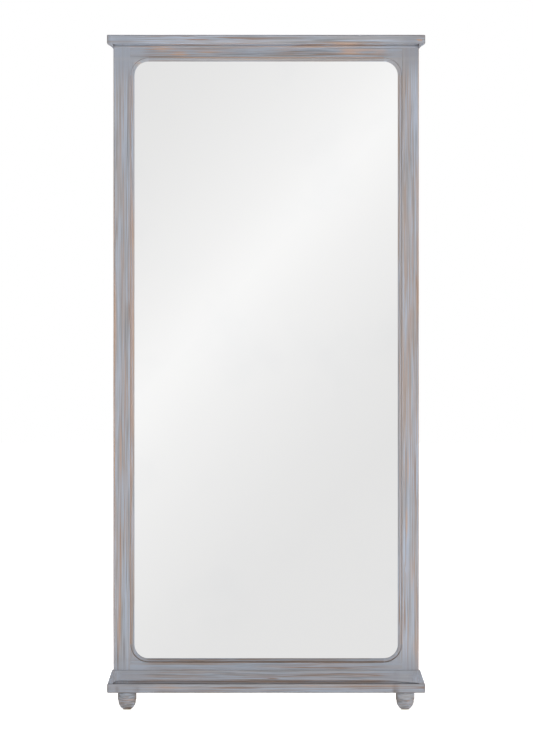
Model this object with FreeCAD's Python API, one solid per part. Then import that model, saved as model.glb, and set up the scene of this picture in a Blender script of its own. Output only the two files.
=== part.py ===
import FreeCAD, Part
import os

# Tall leaning mirror: a painted wooden frame with a cornice, a plinth and two bun feet.
# Lengths are in millimetres. The mirror faces -Y, +X is the viewer's right and +Z is up.
# The floor is z = 0, and the origin lies under the middle of the overall box.

Vector = FreeCAD.Vector

# Sight opening, the part of the mirror that shows
sight_width = 714.0
sight_height = 1618.0
sight_corner_radius = 38.0

# Stiles and rails of the frame
stile_width = 57.0
top_rail_height = 47.0
bottom_rail_height = 68.0
frame_depth = 44.0
stile_arris_radius = 2.5

# Rebate behind the lip, where the glass lies
lip_thickness = 10.0
rebate_width = 12.0

# Sunk bead and the groove at its outer edge, worked round the opening
bead_width = 8.4
bead_set = 2.4
bead_bow = 0.9
lip_drop = 6.0
groove_width = 2.5
groove_depth = 3.0

# Cornice and plinth boards
board_overhang = 17.0
cornice_thickness = 24.0
plinth_thickness = 25.0
board_arris_radius = 2.5

# Mouldings under the cornice
cove_height = 12.0
cove_inset = 3.0
cove_foot = 1.0
cove_bow = 1.2
cornice_bead_height = 6.0
cornice_bead_projection = 3.0
cornice_bead_quirk = 4.5

# Mouldings above the plinth
base_height = 35.5
base_top_projection = 4.0
base_foot_inset = 1.2
base_recess_height = 8.5
base_nose = 1.2

# Bun feet
collar_radius = 25.5
collar_height = 20.0
collar_rounding = 1.5
bun_radius = 23.8
bun_height = 25.0
bun_bow_out = 3.6
bun_bow_down = 1.8
glide_radius = 11.0
glide_thickness = 2.0
glide_spike_radius = 1.2
glide_spike_length = 14.0
foot_setback = 2.0

# Studs and threaded inserts that hold the feet
stud_radius = 4.0
stud_depth_in_foot = 25.0
insert_radius = 6.0
insert_length = 18.0
insert_edge_margin = 2.0
stud_end_gap = 1.0

# Glass, backing board and retaining strips
glass_thickness = 5.0
glass_edge_clearance = 1.0
backing_thickness = 4.0
strip_width = 12.0
strip_depth = 15.0
pin_radius = 0.9
pin_head_radius = 1.8
pin_head_height = 1.2
pin_length = 25.0
pin_end_margin = 80.0
side_pin_count = 7
rail_pin_count = 3

# Dowels in the corner joints
dowel_radius = 4.0
dowel_length = 60.0
dowel_back_margin = 11.0

# Screws through the two boards, and the plugs over the upper ones
board_screw_radius = 2.25
board_screw_head_radius = 4.5
board_screw_head_height = 3.0
board_screw_setback = 9.0
board_screw_bite_share = 0.8
cornice_screw_count = 5
plinth_screw_count = 4
plinth_screw_end_margin = 60.0
plug_radius = 5.0
plug_depth = 6.0

# Strap hangers and their wire rings on the back of the stiles
hanger_drop = 300.0
strap_width = 16.0
strap_thickness = 1.5
strap_length = 60.0
strap_corner_radius = 6.0
strap_screw_drop = 36.0
strap_screw_pitch = 14.0
strap_screw_count = 2
ring_wire_radius = 2.0
ring_bend_radius = 3.0
ring_leg_length = 10.0
ring_side_gap = 0.3
ring_face_gap = 0.4
ring_running_fit = 0.08

# Pan head screws of the hangers and the bumpers
pan_screw_radius = 2.0
pan_head_radius = 3.8
pan_head_height = 2.4
pan_head_rounding = 0.8
pan_screw_length = 18.0

# Rubber bumpers on the back, near the corners
bumper_radius = 11.0
bumper_height = 8.0
bumper_rounding = 1.5
bumper_bore_radius = 5.0
bumper_bore_depth = 5.0
bumper_inset = 60.0

# Driver slots, clearances and the run of each cut past its surface
slot_width = 0.9
slot_depth = 1.0
slot_span_share = 1.3
fastener_clearance = 0.1
stud_clearance = 0.5
overrun = 1.0
pick_tolerance = 0.001

# Levels, from the floor up
foot_top = glide_thickness + bun_height + collar_height
frame_bottom = foot_top + plinth_thickness
sight_bottom = frame_bottom + bottom_rail_height
sight_top = sight_bottom + sight_height
frame_top = sight_top + top_rail_height
cornice_top = frame_top + cornice_thickness
sight_middle = (sight_bottom + sight_top) / 2

# Half widths, from the middle out
sight_half = sight_width / 2
frame_half = sight_half + stile_width
board_half = frame_half + board_overhang
joint_x = sight_half + rebate_width
stile_middle = (joint_x + frame_half) / 2
foot_x = joint_x + insert_radius + insert_edge_margin

# Depths, from the front to the back
total_depth = board_overhang + frame_depth + bumper_height
board_front = -total_depth / 2
frame_front = board_front + board_overhang
frame_back = frame_front + frame_depth
glass_front = frame_front + lip_thickness
glass_back = glass_front + glass_thickness
backing_back = glass_back + backing_thickness
strip_back = backing_back + strip_depth
foot_y = (board_front + frame_back) / 2 + foot_setback
dowel_y = frame_back - dowel_back_margin
board_screw_y = frame_front + board_screw_setback

# Rebate edges above and below the opening
rebate_top = sight_top + rebate_width
rebate_bottom = sight_bottom - rebate_width

# Wire ring and the barrel that holds it
ring_axis_y = frame_back + strap_thickness + ring_face_gap + ring_wire_radius
ring_axis_z = frame_top - hanger_drop
ring_half_width = strap_width / 2 + ring_side_gap + ring_bend_radius
barrel_bore = ring_wire_radius + ring_running_fit
barrel_radius = barrel_bore + strap_thickness


# Shape helpers

def box(x0, x1, y0, y1, z0, z1):
    """Box between two opposite corners."""
    return Part.makeBox(x1 - x0, y1 - y0, z1 - z0, Vector(x0, y0, z0))


def rod(radius, start, end):
    """Round rod from one point to another."""
    axis = end.sub(start)
    return Part.makeCylinder(radius, axis.Length, start, axis)


def line(start, end):
    """Straight edge."""
    return Part.makeLine(start, end)


def bowed(start, end, bow):
    """Arc from start to end whose middle stands off the middle of its chord by the vector bow."""
    middle = start.add(end).multiply(1 / 2).add(bow)
    return Part.Arc(start, middle, end).toShape()


def polygon(points):
    """Flat face inside a ring of points."""
    return Part.Face(Part.makePolygon(points + points[:1]))


def turned(points):
    """Solid turned about the Z axis from points given as radius and height."""
    outline = [Vector(radius, 0, height) for radius, height in points]
    return polygon(outline).revolve(Vector(0, 0, 0), Vector(0, 0, 1), 360)


def mirrored(shape):
    """The same shape on the other side of the middle plane."""
    return shape.mirror(Vector(0, 0, 0), Vector(1, 0, 0))


def upended(shape):
    """The same shape on the other side of the opening's middle height."""
    return shape.mirror(Vector(0, 0, sight_middle), Vector(0, 0, 1))


def aimed(shape, position, direction):
    """A shape made pointing down from the origin, moved to a place and direction."""
    placed = shape.copy()
    placed.Placement = FreeCAD.Placement(position, FreeCAD.Rotation(Vector(0, 0, -1), direction))
    return placed


def edges_at(shape, x=None, y=None, z=None):
    """Edges whose ends all have the given coordinates."""
    found = []
    for edge in shape.Edges:
        ends = [vertex.Point for vertex in edge.Vertexes]
        on_x = x is None or all(abs(end.x - x) < pick_tolerance for end in ends)
        on_y = y is None or all(abs(end.y - y) < pick_tolerance for end in ends)
        on_z = z is None or all(abs(end.z - z) < pick_tolerance for end in ends)
        if on_x and on_y and on_z:
            found.append(edge)
    return found


def spread(first, last, count):
    """Evenly spaced places from first to last."""
    return [first + (last - first) * index / (count - 1) for index in range(count)]


# Fasteners, made pointing down with the underside or top of the head at the origin

def driver_slot(head_radius, top):
    """Cross for the driver, sunk into a head whose top is at the given height."""
    span = head_radius * slot_span_share / 2
    half = slot_width / 2
    floor = top - slot_depth
    across = box(-span, span, -half, half, floor, top + overrun)
    along = box(-half, half, -span, span, floor, top + overrun)
    return across.fuse(along)


def board_screw(length):
    """Countersunk screw that holds a board to the frame."""
    shank = board_screw_radius
    tip = shank * 2
    outline = [(0, 0), (board_screw_head_radius, 0), (shank, -board_screw_head_height)]
    outline += [(shank, tip - length), (0, -length)]
    return turned(outline).cut(driver_slot(board_screw_head_radius, 0))


def board_screw_hole(length):
    """Space for a board screw and the way in to it."""
    shank = board_screw_radius + fastener_clearance
    head = board_screw_head_radius + fastener_clearance
    floor = -length - fastener_clearance
    outline = [(0, overrun), (head, overrun), (head, 0), (shank, -board_screw_head_height)]
    outline += [(shank, floor), (0, floor)]
    return turned(outline)


def pan_screw():
    """Pan head screw whose head rests on the surface at the origin."""
    head = Part.makeCylinder(pan_head_radius, pan_head_height)
    head = head.makeFillet(pan_head_rounding, edges_at(head, z=pan_head_height))
    tip = pan_screw_radius * 2
    outline = [(0, 0), (pan_screw_radius, 0), (pan_screw_radius, tip - pan_screw_length)]
    shank = turned(outline + [(0, -pan_screw_length)])
    return head.fuse(shank).cut(driver_slot(pan_head_radius, pan_head_height))


def pan_screw_hole():
    """Space for the shank of a pan head screw."""
    start = Vector(0, 0, overrun)
    end = Vector(0, 0, -pan_screw_length - fastener_clearance)
    return rod(pan_screw_radius + fastener_clearance, start, end)


def strip_pin():
    """Round headed pin that holds a retaining strip, its head sunk level."""
    outline = [(0, 0), (pin_head_radius, 0), (pin_head_radius, -pin_head_height)]
    outline += [(pin_radius, -pin_head_height), (pin_radius, -pin_length), (0, -pin_length)]
    return turned(outline)


def strip_pin_hole():
    """Space for a strip pin."""
    head = pin_head_radius + fastener_clearance
    shank = pin_radius + fastener_clearance
    step = -pin_head_height - fastener_clearance
    end = -pin_length - fastener_clearance
    return turned([(0, overrun), (head, overrun), (head, step), (shank, step), (shank, end), (0, end)])


# Places of the fasteners

def cornice_screw_places():
    """Heads of the cornice screws, under their plugs."""
    return [Vector(x, board_screw_y, cornice_top - plug_depth)
            for x in spread(-stile_middle, stile_middle, cornice_screw_count)]


def plinth_screw_places():
    """Heads of the plinth screws, level with its underside."""
    reach = joint_x - plinth_screw_end_margin
    return [Vector(x, board_screw_y, foot_top) for x in spread(-reach, reach, plinth_screw_count)]


def cornice_screw_length():
    """From the plug to the share of the top rail that the screw bites."""
    bite = (top_rail_height - rebate_width) * board_screw_bite_share
    return cornice_thickness - plug_depth + bite


def plinth_screw_length():
    """From the plinth's underside to the share of the bottom rail that the screw bites."""
    bite = (bottom_rail_height - rebate_width) * board_screw_bite_share
    return plinth_thickness + bite


def dowel_heights(low, high):
    """Two dowels at the quarter points of a rail's end."""
    quarter = (high - low) / 4
    return [low + quarter, high - quarter]


def dowels(radius, length):
    """All the dowels of the four corner joints, as solids of the given size."""
    heights = dowel_heights(frame_bottom, rebate_bottom) + dowel_heights(rebate_top, frame_top)
    rods = []
    for side in (-1, 1):
        for z in heights:
            start = Vector(side * joint_x - length / 2, dowel_y, z)
            rods.append(rod(radius, start, start.add(Vector(length, 0, 0))))
    return rods


def strip_middle_y():
    """Depth of the strips' middle, where the pins go in."""
    return (backing_back + strip_back) / 2


def side_pins(shape):
    """A pin shape at each place along both side strips."""
    low = rebate_bottom + pin_end_margin
    high = rebate_top - pin_end_margin
    placed = []
    for side in (-1, 1):
        for z in spread(low, high, side_pin_count):
            place = Vector(side * (joint_x - strip_width), strip_middle_y(), z)
            placed.append(aimed(shape, place, Vector(side, 0, 0)))
    return placed


def rail_pins(shape):
    """A pin shape at each place along the top and bottom strips."""
    reach = joint_x - strip_width - pin_end_margin
    placed = []
    for x in spread(-reach, reach, rail_pin_count):
        upper = Vector(x, strip_middle_y(), rebate_top - strip_width)
        lower = Vector(x, strip_middle_y(), rebate_bottom + strip_width)
        placed.append(aimed(shape, upper, Vector(0, 0, 1)))
        placed.append(aimed(shape, lower, Vector(0, 0, -1)))
    return placed


def hanger_screw_places():
    """Surface points of the right-hand strap where its screws go in."""
    surface = frame_back + strap_thickness
    return [Vector(stile_middle, surface, ring_axis_z - strap_screw_drop - strap_screw_pitch * index)
            for index in range(strap_screw_count)]


def bumper_heights():
    """Heights of the lower and the upper bumpers."""
    return [frame_bottom + bumper_inset, frame_top - bumper_inset]


# Frame

def lip_profile(place):
    """Wood taken away at the lip, between the sight edge and the groove. place maps an
    outward distance from the sight edge and a depth behind the face to a point."""
    inner = place(-overrun, -overrun)
    outer = place(bead_width + groove_width, -overrun)
    groove_edge = place(bead_width + groove_width, 0)
    groove_floor = place(bead_width + groove_width / 2, groove_depth)
    bead_crest = place(bead_width, bead_set)
    bead_foot = place(0, lip_drop)
    inner_foot = place(-overrun, lip_drop)
    bow = place(-bead_bow / 2, -bead_bow).sub(place(0, 0))
    bead = bowed(bead_crest, bead_foot, bow)
    sides = [line(bead_foot, inner_foot), line(inner_foot, inner), line(inner, outer)]
    sides += [line(outer, groove_edge), line(groove_edge, groove_floor), line(groove_floor, bead_crest)]
    return Part.Face(Part.Wire(Part.__sortEdges__([bead] + sides)))


def lip_cutter():
    """Bead and groove round the whole opening, with round corners."""
    corner_x = sight_half - sight_corner_radius
    corner_z = sight_top - sight_corner_radius
    top_run = lip_profile(lambda out, back: Vector(0, frame_front + back, sight_top + out))
    top_run = top_run.extrude(Vector(corner_x, 0, 0))
    side_run = lip_profile(lambda out, back: Vector(sight_half + out, frame_front + back, sight_middle))
    side_run = side_run.extrude(Vector(0, 0, corner_z - sight_middle))
    corner = lip_profile(lambda out, back: Vector(corner_x, frame_front + back, sight_top + out))
    corner = corner.revolve(Vector(corner_x, 0, corner_z), Vector(0, 1, 0), 90)
    quarter = [top_run, corner, side_run]
    upper = quarter + [mirrored(piece) for piece in quarter]
    pieces = upper + [upended(piece) for piece in upper]
    return pieces[0].multiFuse(pieces[1:]).removeSplitter()


def stile(lip, holes):
    """Right-hand stile: a full height post with the lip that covers the glass edge."""
    post = box(joint_x, frame_half, frame_front, frame_back, frame_bottom, frame_top)
    post = post.makeFillet(stile_arris_radius, edges_at(post, x=frame_half, y=frame_front))
    low = sight_bottom + sight_corner_radius
    high = sight_top - sight_corner_radius
    ledge = box(sight_half, joint_x, frame_front, glass_front, low, high)
    return post.fuse(ledge).removeSplitter().cut([lip] + holes)


def rail(low, high, ledge_low, ledge_high, lip, holes):
    """Rail between the stiles, with the lip that covers the glass edge."""
    beam = box(-joint_x, joint_x, frame_front, frame_back, low, high)
    reach = sight_half - sight_corner_radius
    ledge = box(-reach, reach, frame_front, glass_front, ledge_low, ledge_high)
    return beam.fuse(ledge).removeSplitter().cut([lip] + holes)


def corner_block(lip):
    """Top right-hand block that rounds the corner of the opening."""
    corner_x = sight_half - sight_corner_radius
    corner_z = sight_top - sight_corner_radius
    block = box(corner_x, joint_x, frame_front, glass_front, corner_z, rebate_top)
    start = Vector(corner_x, frame_front - overrun, corner_z)
    end = Vector(corner_x, glass_front + overrun, corner_z)
    return block.cut([rod(sight_corner_radius, start, end), lip])


def frame_nodes():
    """Stiles, rails, corner blocks and dowels."""
    lip = lip_cutter()
    dowel_holes = dowels(dowel_radius + fastener_clearance, dowel_length + fastener_clearance * 2)
    pin_holes = side_pins(strip_pin_hole())
    cap_pin_holes = rail_pins(strip_pin_hole())
    cornice_holes = [aimed(board_screw_hole(cornice_screw_length()), place, Vector(0, 0, -1))
                     for place in cornice_screw_places()]
    plinth_holes = [aimed(board_screw_hole(plinth_screw_length()), place, Vector(0, 0, 1))
                    for place in plinth_screw_places()]
    hanger_holes = [aimed(pan_screw_hole(), place, Vector(0, -1, 0)) for place in hanger_screw_places()]
    bumper_holes = [aimed(pan_screw_hole(), bumper_screw_place(z), Vector(0, -1, 0))
                    for z in bumper_heights()]
    insert_base = Vector(foot_x, foot_y, frame_bottom)
    insert_head = insert_base.add(Vector(0, 0, insert_length + stud_end_gap))
    insert_hole = rod(insert_radius + fastener_clearance, insert_base, insert_head)
    right = stile(lip, dowel_holes + pin_holes + cornice_holes + hanger_holes + bumper_holes + [insert_hole])
    block = corner_block(lip)
    return {
        "left_stile": mirrored(right),
        "right_stile": right,
        "top_rail": rail(rebate_top, frame_top, sight_top, rebate_top, lip,
                         dowel_holes + cap_pin_holes + cornice_holes),
        "bottom_rail": rail(frame_bottom, rebate_bottom, rebate_bottom, sight_bottom, lip,
                            dowel_holes + cap_pin_holes + plinth_holes),
        "top_right_corner_block": block,
        "top_left_corner_block": mirrored(block),
        "bottom_right_corner_block": upended(block),
        "bottom_left_corner_block": mirrored(upended(block)),
        "corner_dowels": Part.makeCompound(dowels(dowel_radius, dowel_length)),
    }


# Cornice

def board(low, high):
    """Board over the full width and depth, with its front and ends eased."""
    blank = box(-board_half, board_half, board_front, frame_back, low, high)
    back_edges = edges_at(blank, y=frame_back)
    eased = [edge for edge in blank.Edges if not any(edge.isSame(back) for back in back_edges)]
    return blank.makeFillet(board_arris_radius, eased)


def cornice_board():
    """Cornice board with screw holes and plug seats."""
    holes = []
    for place in cornice_screw_places():
        holes.append(aimed(board_screw_hole(cornice_screw_length()), place, Vector(0, 0, -1)))
        mouth = place.add(Vector(0, 0, plug_depth + overrun))
        holes.append(rod(plug_radius + fastener_clearance, place, mouth))
    return board(frame_top, cornice_top).cut(holes)


def cornice_cove():
    """Right-hand cove return under the cornice, flat at its front end."""
    top_x = board_half - cove_inset
    foot_z = frame_top - cove_height
    foot = Vector(frame_half + cove_foot, 0, foot_z)
    brow = Vector(top_x, 0, frame_top - cove_foot)
    bow = Vector(-cove_bow, 0, cove_bow)
    edges = [
        line(Vector(frame_half, 0, foot_z), foot),
        bowed(foot, brow, bow),
        line(brow, Vector(top_x, 0, frame_top)),
        line(Vector(top_x, 0, frame_top), Vector(frame_half, 0, frame_top)),
        line(Vector(frame_half, 0, frame_top), Vector(frame_half, 0, foot_z)),
    ]
    section = Part.Face(Part.Wire(edges))
    section.translate(Vector(0, board_front + cove_inset, 0))
    return section.extrude(Vector(0, frame_back - board_front - cove_inset, 0))


def cornice_front_bead():
    """Half round bead across the front, a little under the cornice board."""
    high = frame_top - cornice_bead_quirk
    low = high - cornice_bead_height
    top = Vector(-frame_half, frame_front, high)
    bottom = Vector(-frame_half, frame_front, low)
    nose = bowed(top, bottom, Vector(0, -cornice_bead_projection, 0))
    section = Part.Face(Part.Wire([nose, line(bottom, top)]))
    return section.extrude(Vector(frame_half * 2, 0, 0))


def cornice_nodes():
    """Cornice board, its mouldings and its fasteners."""
    cove = cornice_cove()
    screw = board_screw(cornice_screw_length())
    places = cornice_screw_places()
    plugs = [rod(plug_radius, place, place.add(Vector(0, 0, plug_depth))) for place in places]
    return {
        "cornice_board": cornice_board(),
        "cornice_front_bead": cornice_front_bead(),
        "left_cornice_cove": mirrored(cove),
        "right_cornice_cove": cove,
        "cornice_screws": Part.makeCompound([aimed(screw, place, Vector(0, 0, -1)) for place in places]),
        "cornice_plugs": Part.makeCompound(plugs),
    }


# Plinth and base mouldings

def stud_way(radius, low, high):
    """Round space for the right-hand stud between two levels."""
    return rod(radius, Vector(foot_x, foot_y, low), Vector(foot_x, foot_y, high))


def plinth_board():
    """Plinth board with holes for its screws and for the foot studs."""
    holes = [aimed(board_screw_hole(plinth_screw_length()), place, Vector(0, 0, 1))
             for place in plinth_screw_places()]
    way = stud_way(stud_radius + stud_clearance, foot_top - overrun, frame_bottom + overrun)
    return board(foot_top, frame_bottom).cut(holes + [way, mirrored(way)])


def base_slope(height):
    """How far the base moulding stands out at a height above the plinth."""
    foot = board_overhang - base_foot_inset
    return foot + (base_top_projection - foot) * height / base_height


def base_section(place, low):
    """Section of the base moulding from a height above the plinth up to its nose."""
    nose = base_height - base_nose
    points = [
        place(0, low),
        place(base_slope(low), low),
        place(base_slope(nose), nose),
        place(base_slope(base_height) - base_nose, base_height),
        place(0, base_height),
    ]
    return polygon(points)


def front_base_moulding():
    """Sloping moulding across the front, held up off the plinth by a dark recess."""
    section = base_section(lambda out, up: Vector(-frame_half, frame_front - out, frame_bottom + up),
                           base_recess_height)
    return section.extrude(Vector(frame_half * 2, 0, 0))


def side_base_moulding():
    """Right-hand return of the base moulding, sloped on its side and at its front end."""
    side = base_section(lambda out, up: Vector(frame_half + out, board_front, frame_bottom + up), 0)
    side = side.extrude(Vector(0, frame_back - board_front, 0))
    front = base_section(lambda out, up: Vector(frame_half, frame_front - out, frame_bottom + up), 0)
    front = front.extrude(Vector(board_overhang, 0, 0))
    depth = box(frame_half, board_half, frame_front, frame_back, frame_bottom, frame_bottom + base_height)
    return side.common(front.fuse(depth)).removeSplitter()


def plinth_nodes():
    """Plinth board, base mouldings and plinth screws."""
    moulding = side_base_moulding()
    screw = board_screw(plinth_screw_length())
    screws = [aimed(screw, place, Vector(0, 0, 1)) for place in plinth_screw_places()]
    return {
        "plinth_board": plinth_board(),
        "front_base_moulding": front_base_moulding(),
        "left_base_moulding": mirrored(moulding),
        "right_base_moulding": moulding,
        "plinth_screws": Part.makeCompound(screws),
    }


# Feet

def foot():
    """Right-hand bun foot, turned, with bores for its stud and its glide."""
    collar_low = glide_thickness + bun_height
    collar = Part.makeCylinder(collar_radius, collar_height, Vector(0, 0, collar_low))
    rims = edges_at(collar, x=collar_radius, z=collar_low) + edges_at(collar, x=collar_radius, z=foot_top)
    collar = collar.makeFillet(collar_rounding, rims)
    sole_edge = Vector(glide_radius, 0, glide_thickness)
    shoulder = Vector(bun_radius, 0, collar_low)
    edges = [
        line(Vector(0, 0, glide_thickness), sole_edge),
        bowed(sole_edge, shoulder, Vector(bun_bow_out, 0, -bun_bow_down)),
        line(shoulder, Vector(0, 0, collar_low)),
        line(Vector(0, 0, collar_low), Vector(0, 0, glide_thickness)),
    ]
    bun = Part.Face(Part.Wire(edges)).revolve(Vector(0, 0, 0), Vector(0, 0, 1), 360)
    body = collar.fuse(bun)
    body.translate(Vector(foot_x, foot_y, 0))
    stud_low = foot_top - stud_depth_in_foot - stud_end_gap
    spike_high = glide_thickness + glide_spike_length + fastener_clearance
    spike_way = stud_way(glide_spike_radius + fastener_clearance, 0, spike_high)
    return body.cut([stud_way(stud_radius + fastener_clearance, stud_low, foot_top + overrun), spike_way])


def foot_stud():
    """Right-hand stud from the foot, through the plinth, into the stile."""
    return stud_way(stud_radius, foot_top - stud_depth_in_foot, frame_bottom + insert_length)


def foot_insert():
    """Right-hand threaded insert in the foot of the stile."""
    sleeve = stud_way(insert_radius, frame_bottom, frame_bottom + insert_length)
    bore = stud_way(stud_radius + fastener_clearance, frame_bottom - overrun, frame_top)
    return sleeve.cut(bore)


def foot_glide():
    """Right-hand nail-on glide under the foot."""
    disc = stud_way(glide_radius, 0, glide_thickness)
    return disc.fuse(stud_way(glide_spike_radius, 0, glide_thickness + glide_spike_length))


def foot_nodes():
    """Feet, glides, studs and inserts."""
    stud = foot_stud()
    insert = foot_insert()
    return {
        "left_foot": mirrored(foot()),
        "right_foot": foot(),
        "left_foot_glide": mirrored(foot_glide()),
        "right_foot_glide": foot_glide(),
        "foot_studs": Part.makeCompound([mirrored(stud), stud]),
        "foot_inserts": Part.makeCompound([mirrored(insert), insert]),
    }


# Glass, backing and retaining strips

def pane(front, back):
    """Sheet that fills the rebate, less its edge clearance."""
    half = joint_x - glass_edge_clearance
    low = rebate_bottom + glass_edge_clearance
    high = rebate_top - glass_edge_clearance
    return box(-half, half, front, back, low, high)


def side_strip(holes):
    """Right-hand retaining strip, the full height of the rebate."""
    strip = box(joint_x - strip_width, joint_x, backing_back, strip_back, rebate_bottom, rebate_top)
    return strip.cut(holes)


def rail_strip(low, holes):
    """Retaining strip between the side strips."""
    reach = joint_x - strip_width
    return box(-reach, reach, backing_back, strip_back, low, low + strip_width).cut(holes)


def glazing_nodes():
    """Mirror pane, backing board, retaining strips and their pins."""
    right = side_strip(side_pins(strip_pin_hole()))
    cap_holes = rail_pins(strip_pin_hole())
    return {
        "mirror_pane": pane(glass_front, glass_back),
        "backing_board": pane(glass_back, backing_back),
        "left_retaining_strip": mirrored(right),
        "right_retaining_strip": right,
        "top_retaining_strip": rail_strip(rebate_top - strip_width, cap_holes),
        "bottom_retaining_strip": rail_strip(rebate_bottom, cap_holes),
        "strip_pins": Part.makeCompound(side_pins(strip_pin()) + rail_pins(strip_pin())),
    }


# Hanging hardware and bumpers

def hanger_strap():
    """Right-hand strap, rolled into a barrel round the ring's bar."""
    low_x = stile_middle - strap_width / 2
    high_x = stile_middle + strap_width / 2
    foot_z = ring_axis_z - strap_length
    plate = box(low_x, high_x, frame_back, frame_back + strap_thickness, foot_z, ring_axis_z)
    corners = edges_at(plate, x=low_x, z=foot_z) + edges_at(plate, x=high_x, z=foot_z)
    plate = plate.makeFillet(strap_corner_radius, corners)
    web = box(low_x, high_x, frame_back, ring_axis_y, ring_axis_z - barrel_radius, ring_axis_z)
    axis_start = Vector(low_x, ring_axis_y, ring_axis_z)
    axis_end = Vector(high_x, ring_axis_y, ring_axis_z)
    past = Vector(overrun, 0, 0)
    body = plate.multiFuse([web, rod(barrel_radius, axis_start, axis_end)]).removeSplitter()
    holes = [aimed(pan_screw_hole(), place, Vector(0, -1, 0)) for place in hanger_screw_places()]
    return body.cut([rod(barrel_bore, axis_start.sub(past), axis_end.add(past))] + holes)


def wire_bend(centre, start, normal, angle):
    """Length of ring wire bent about a centre, in the plane of the ring."""
    section = Part.Face(Part.Wire([Part.makeCircle(ring_wire_radius, start, normal)]))
    return section.revolve(centre, Vector(0, 1, 0), angle)


def hanging_ring():
    """Right-hand D ring, hanging down from its bar."""
    centre = Vector(stile_middle, ring_axis_y, ring_axis_z)
    bar_reach = ring_half_width - ring_bend_radius
    leg_foot = centre.sub(Vector(0, 0, ring_leg_length))
    half = Vector(ring_half_width, 0, 0)
    pieces = [wire_bend(leg_foot, leg_foot.add(half), Vector(0, 0, 1), 180)]
    for side in (-1, 1):
        bar_end = centre.add(Vector(side * bar_reach, 0, 0))
        bend_centre = bar_end.sub(Vector(0, 0, ring_bend_radius))
        leg_top = bend_centre.add(Vector(side * ring_bend_radius, 0, 0))
        leg_end = Vector(leg_top.x, leg_top.y, leg_foot.z)
        pieces.append(wire_bend(bend_centre, bar_end, Vector(1, 0, 0), 90 * side))
        pieces.append(rod(ring_wire_radius, leg_top, leg_end))
    reach = Vector(bar_reach, 0, 0)
    return rod(ring_wire_radius, centre.sub(reach), centre.add(reach)).multiFuse(pieces).removeSplitter()


def bumper(z):
    """Right-hand rubber bumper with a sunk seat for its screw."""
    base = Vector(stile_middle, frame_back, z)
    top = base.add(Vector(0, bumper_height, 0))
    disc = rod(bumper_radius, base, top)
    disc = disc.makeFillet(bumper_rounding, edges_at(disc, y=top.y))
    seat = rod(bumper_bore_radius, bumper_screw_place(z), top.add(Vector(0, overrun, 0)))
    return disc.cut([seat, aimed(pan_screw_hole(), bumper_screw_place(z), Vector(0, -1, 0))])


def bumper_screw_place(z):
    """Floor of the seat where a right-hand bumper's screw head rests."""
    return Vector(stile_middle, frame_back + bumper_height - bumper_bore_depth, z)


def hardware_nodes():
    """Hangers, rings, bumpers and their screws."""
    low, high = bumper_heights()
    strap = hanger_strap()
    ring = hanging_ring()
    screw = pan_screw()
    hanger_screws = [aimed(screw, place, Vector(0, -1, 0)) for place in hanger_screw_places()]
    bumper_screws = [aimed(screw, bumper_screw_place(z), Vector(0, -1, 0)) for z in (low, high)]
    return {
        "left_hanger_strap": mirrored(strap),
        "right_hanger_strap": strap,
        "left_hanging_ring": mirrored(ring),
        "right_hanging_ring": ring,
        "hanger_screws": Part.makeCompound(hanger_screws + [mirrored(one) for one in hanger_screws]),
        "lower_left_bumper": mirrored(bumper(low)),
        "lower_right_bumper": bumper(low),
        "upper_left_bumper": mirrored(bumper(high)),
        "upper_right_bumper": bumper(high),
        "bumper_screws": Part.makeCompound(bumper_screws + [mirrored(one) for one in bumper_screws]),
    }


def all_nodes():
    """Every named piece of the mirror."""
    nodes = {}
    for group in (frame_nodes, cornice_nodes, plinth_nodes, foot_nodes, glazing_nodes, hardware_nodes):
        nodes.update(group())
    return nodes


os.makedirs("parts", exist_ok=True)
for name, shape in all_nodes().items():
    shape.exportStep("parts/" + name + ".step")
    print(name, len(shape.Solids), shape.isValid(), round(shape.Volume))
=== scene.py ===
"""Looks of a tall leaning mirror: rubbed-back painted timber, turned feet, glass and hardware.

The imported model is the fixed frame. Lengths are in metres. The mirror faces -Y, +X is the
viewer's right, +Z is up, and the floor is z = 0.
"""

from __future__ import annotations

import logging
import math
from collections.abc import Iterable, Sequence
from dataclasses import dataclass, field, replace
from enum import Enum
from itertools import product

import bmesh
import bpy
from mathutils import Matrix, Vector

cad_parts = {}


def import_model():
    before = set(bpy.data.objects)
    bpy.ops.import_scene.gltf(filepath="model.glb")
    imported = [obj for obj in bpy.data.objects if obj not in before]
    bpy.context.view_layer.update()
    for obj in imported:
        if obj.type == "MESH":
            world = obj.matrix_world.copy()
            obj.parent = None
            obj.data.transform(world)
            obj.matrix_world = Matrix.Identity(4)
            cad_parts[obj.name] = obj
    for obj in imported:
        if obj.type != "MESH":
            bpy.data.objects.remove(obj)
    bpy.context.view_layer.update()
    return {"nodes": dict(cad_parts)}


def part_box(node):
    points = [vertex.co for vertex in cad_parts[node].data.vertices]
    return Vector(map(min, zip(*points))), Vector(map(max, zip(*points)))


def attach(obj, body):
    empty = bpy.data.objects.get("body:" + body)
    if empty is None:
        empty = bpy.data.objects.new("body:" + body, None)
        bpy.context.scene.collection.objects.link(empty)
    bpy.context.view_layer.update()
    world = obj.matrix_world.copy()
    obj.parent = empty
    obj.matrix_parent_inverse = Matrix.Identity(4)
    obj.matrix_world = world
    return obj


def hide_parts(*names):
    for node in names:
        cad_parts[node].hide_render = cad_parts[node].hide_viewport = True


log = logging.getLogger("leaning_mirror")

MM = 0.001
WHITE = (1.0, 1.0, 1.0, 1.0)
UP, DOWN, BACK = Vector((0, 0, 1)), Vector((0, 0, -1)), Vector((0, 1, 0))
SIDES = {-1: "left", 1: "right"}
ENDS = {-1: "bottom", 1: "top"}
BORE_FACETS = 36
SHADER, GEOMETRY = "ShaderNodeTree", "GeometryNodeTree"
COLOUR_AND_HEIGHT = {"Color": "Color", "Height": "Float"}
Colour = tuple[float, float, float, float]
Point = tuple[float, float]
Feeds = dict[str | int, object]


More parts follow.
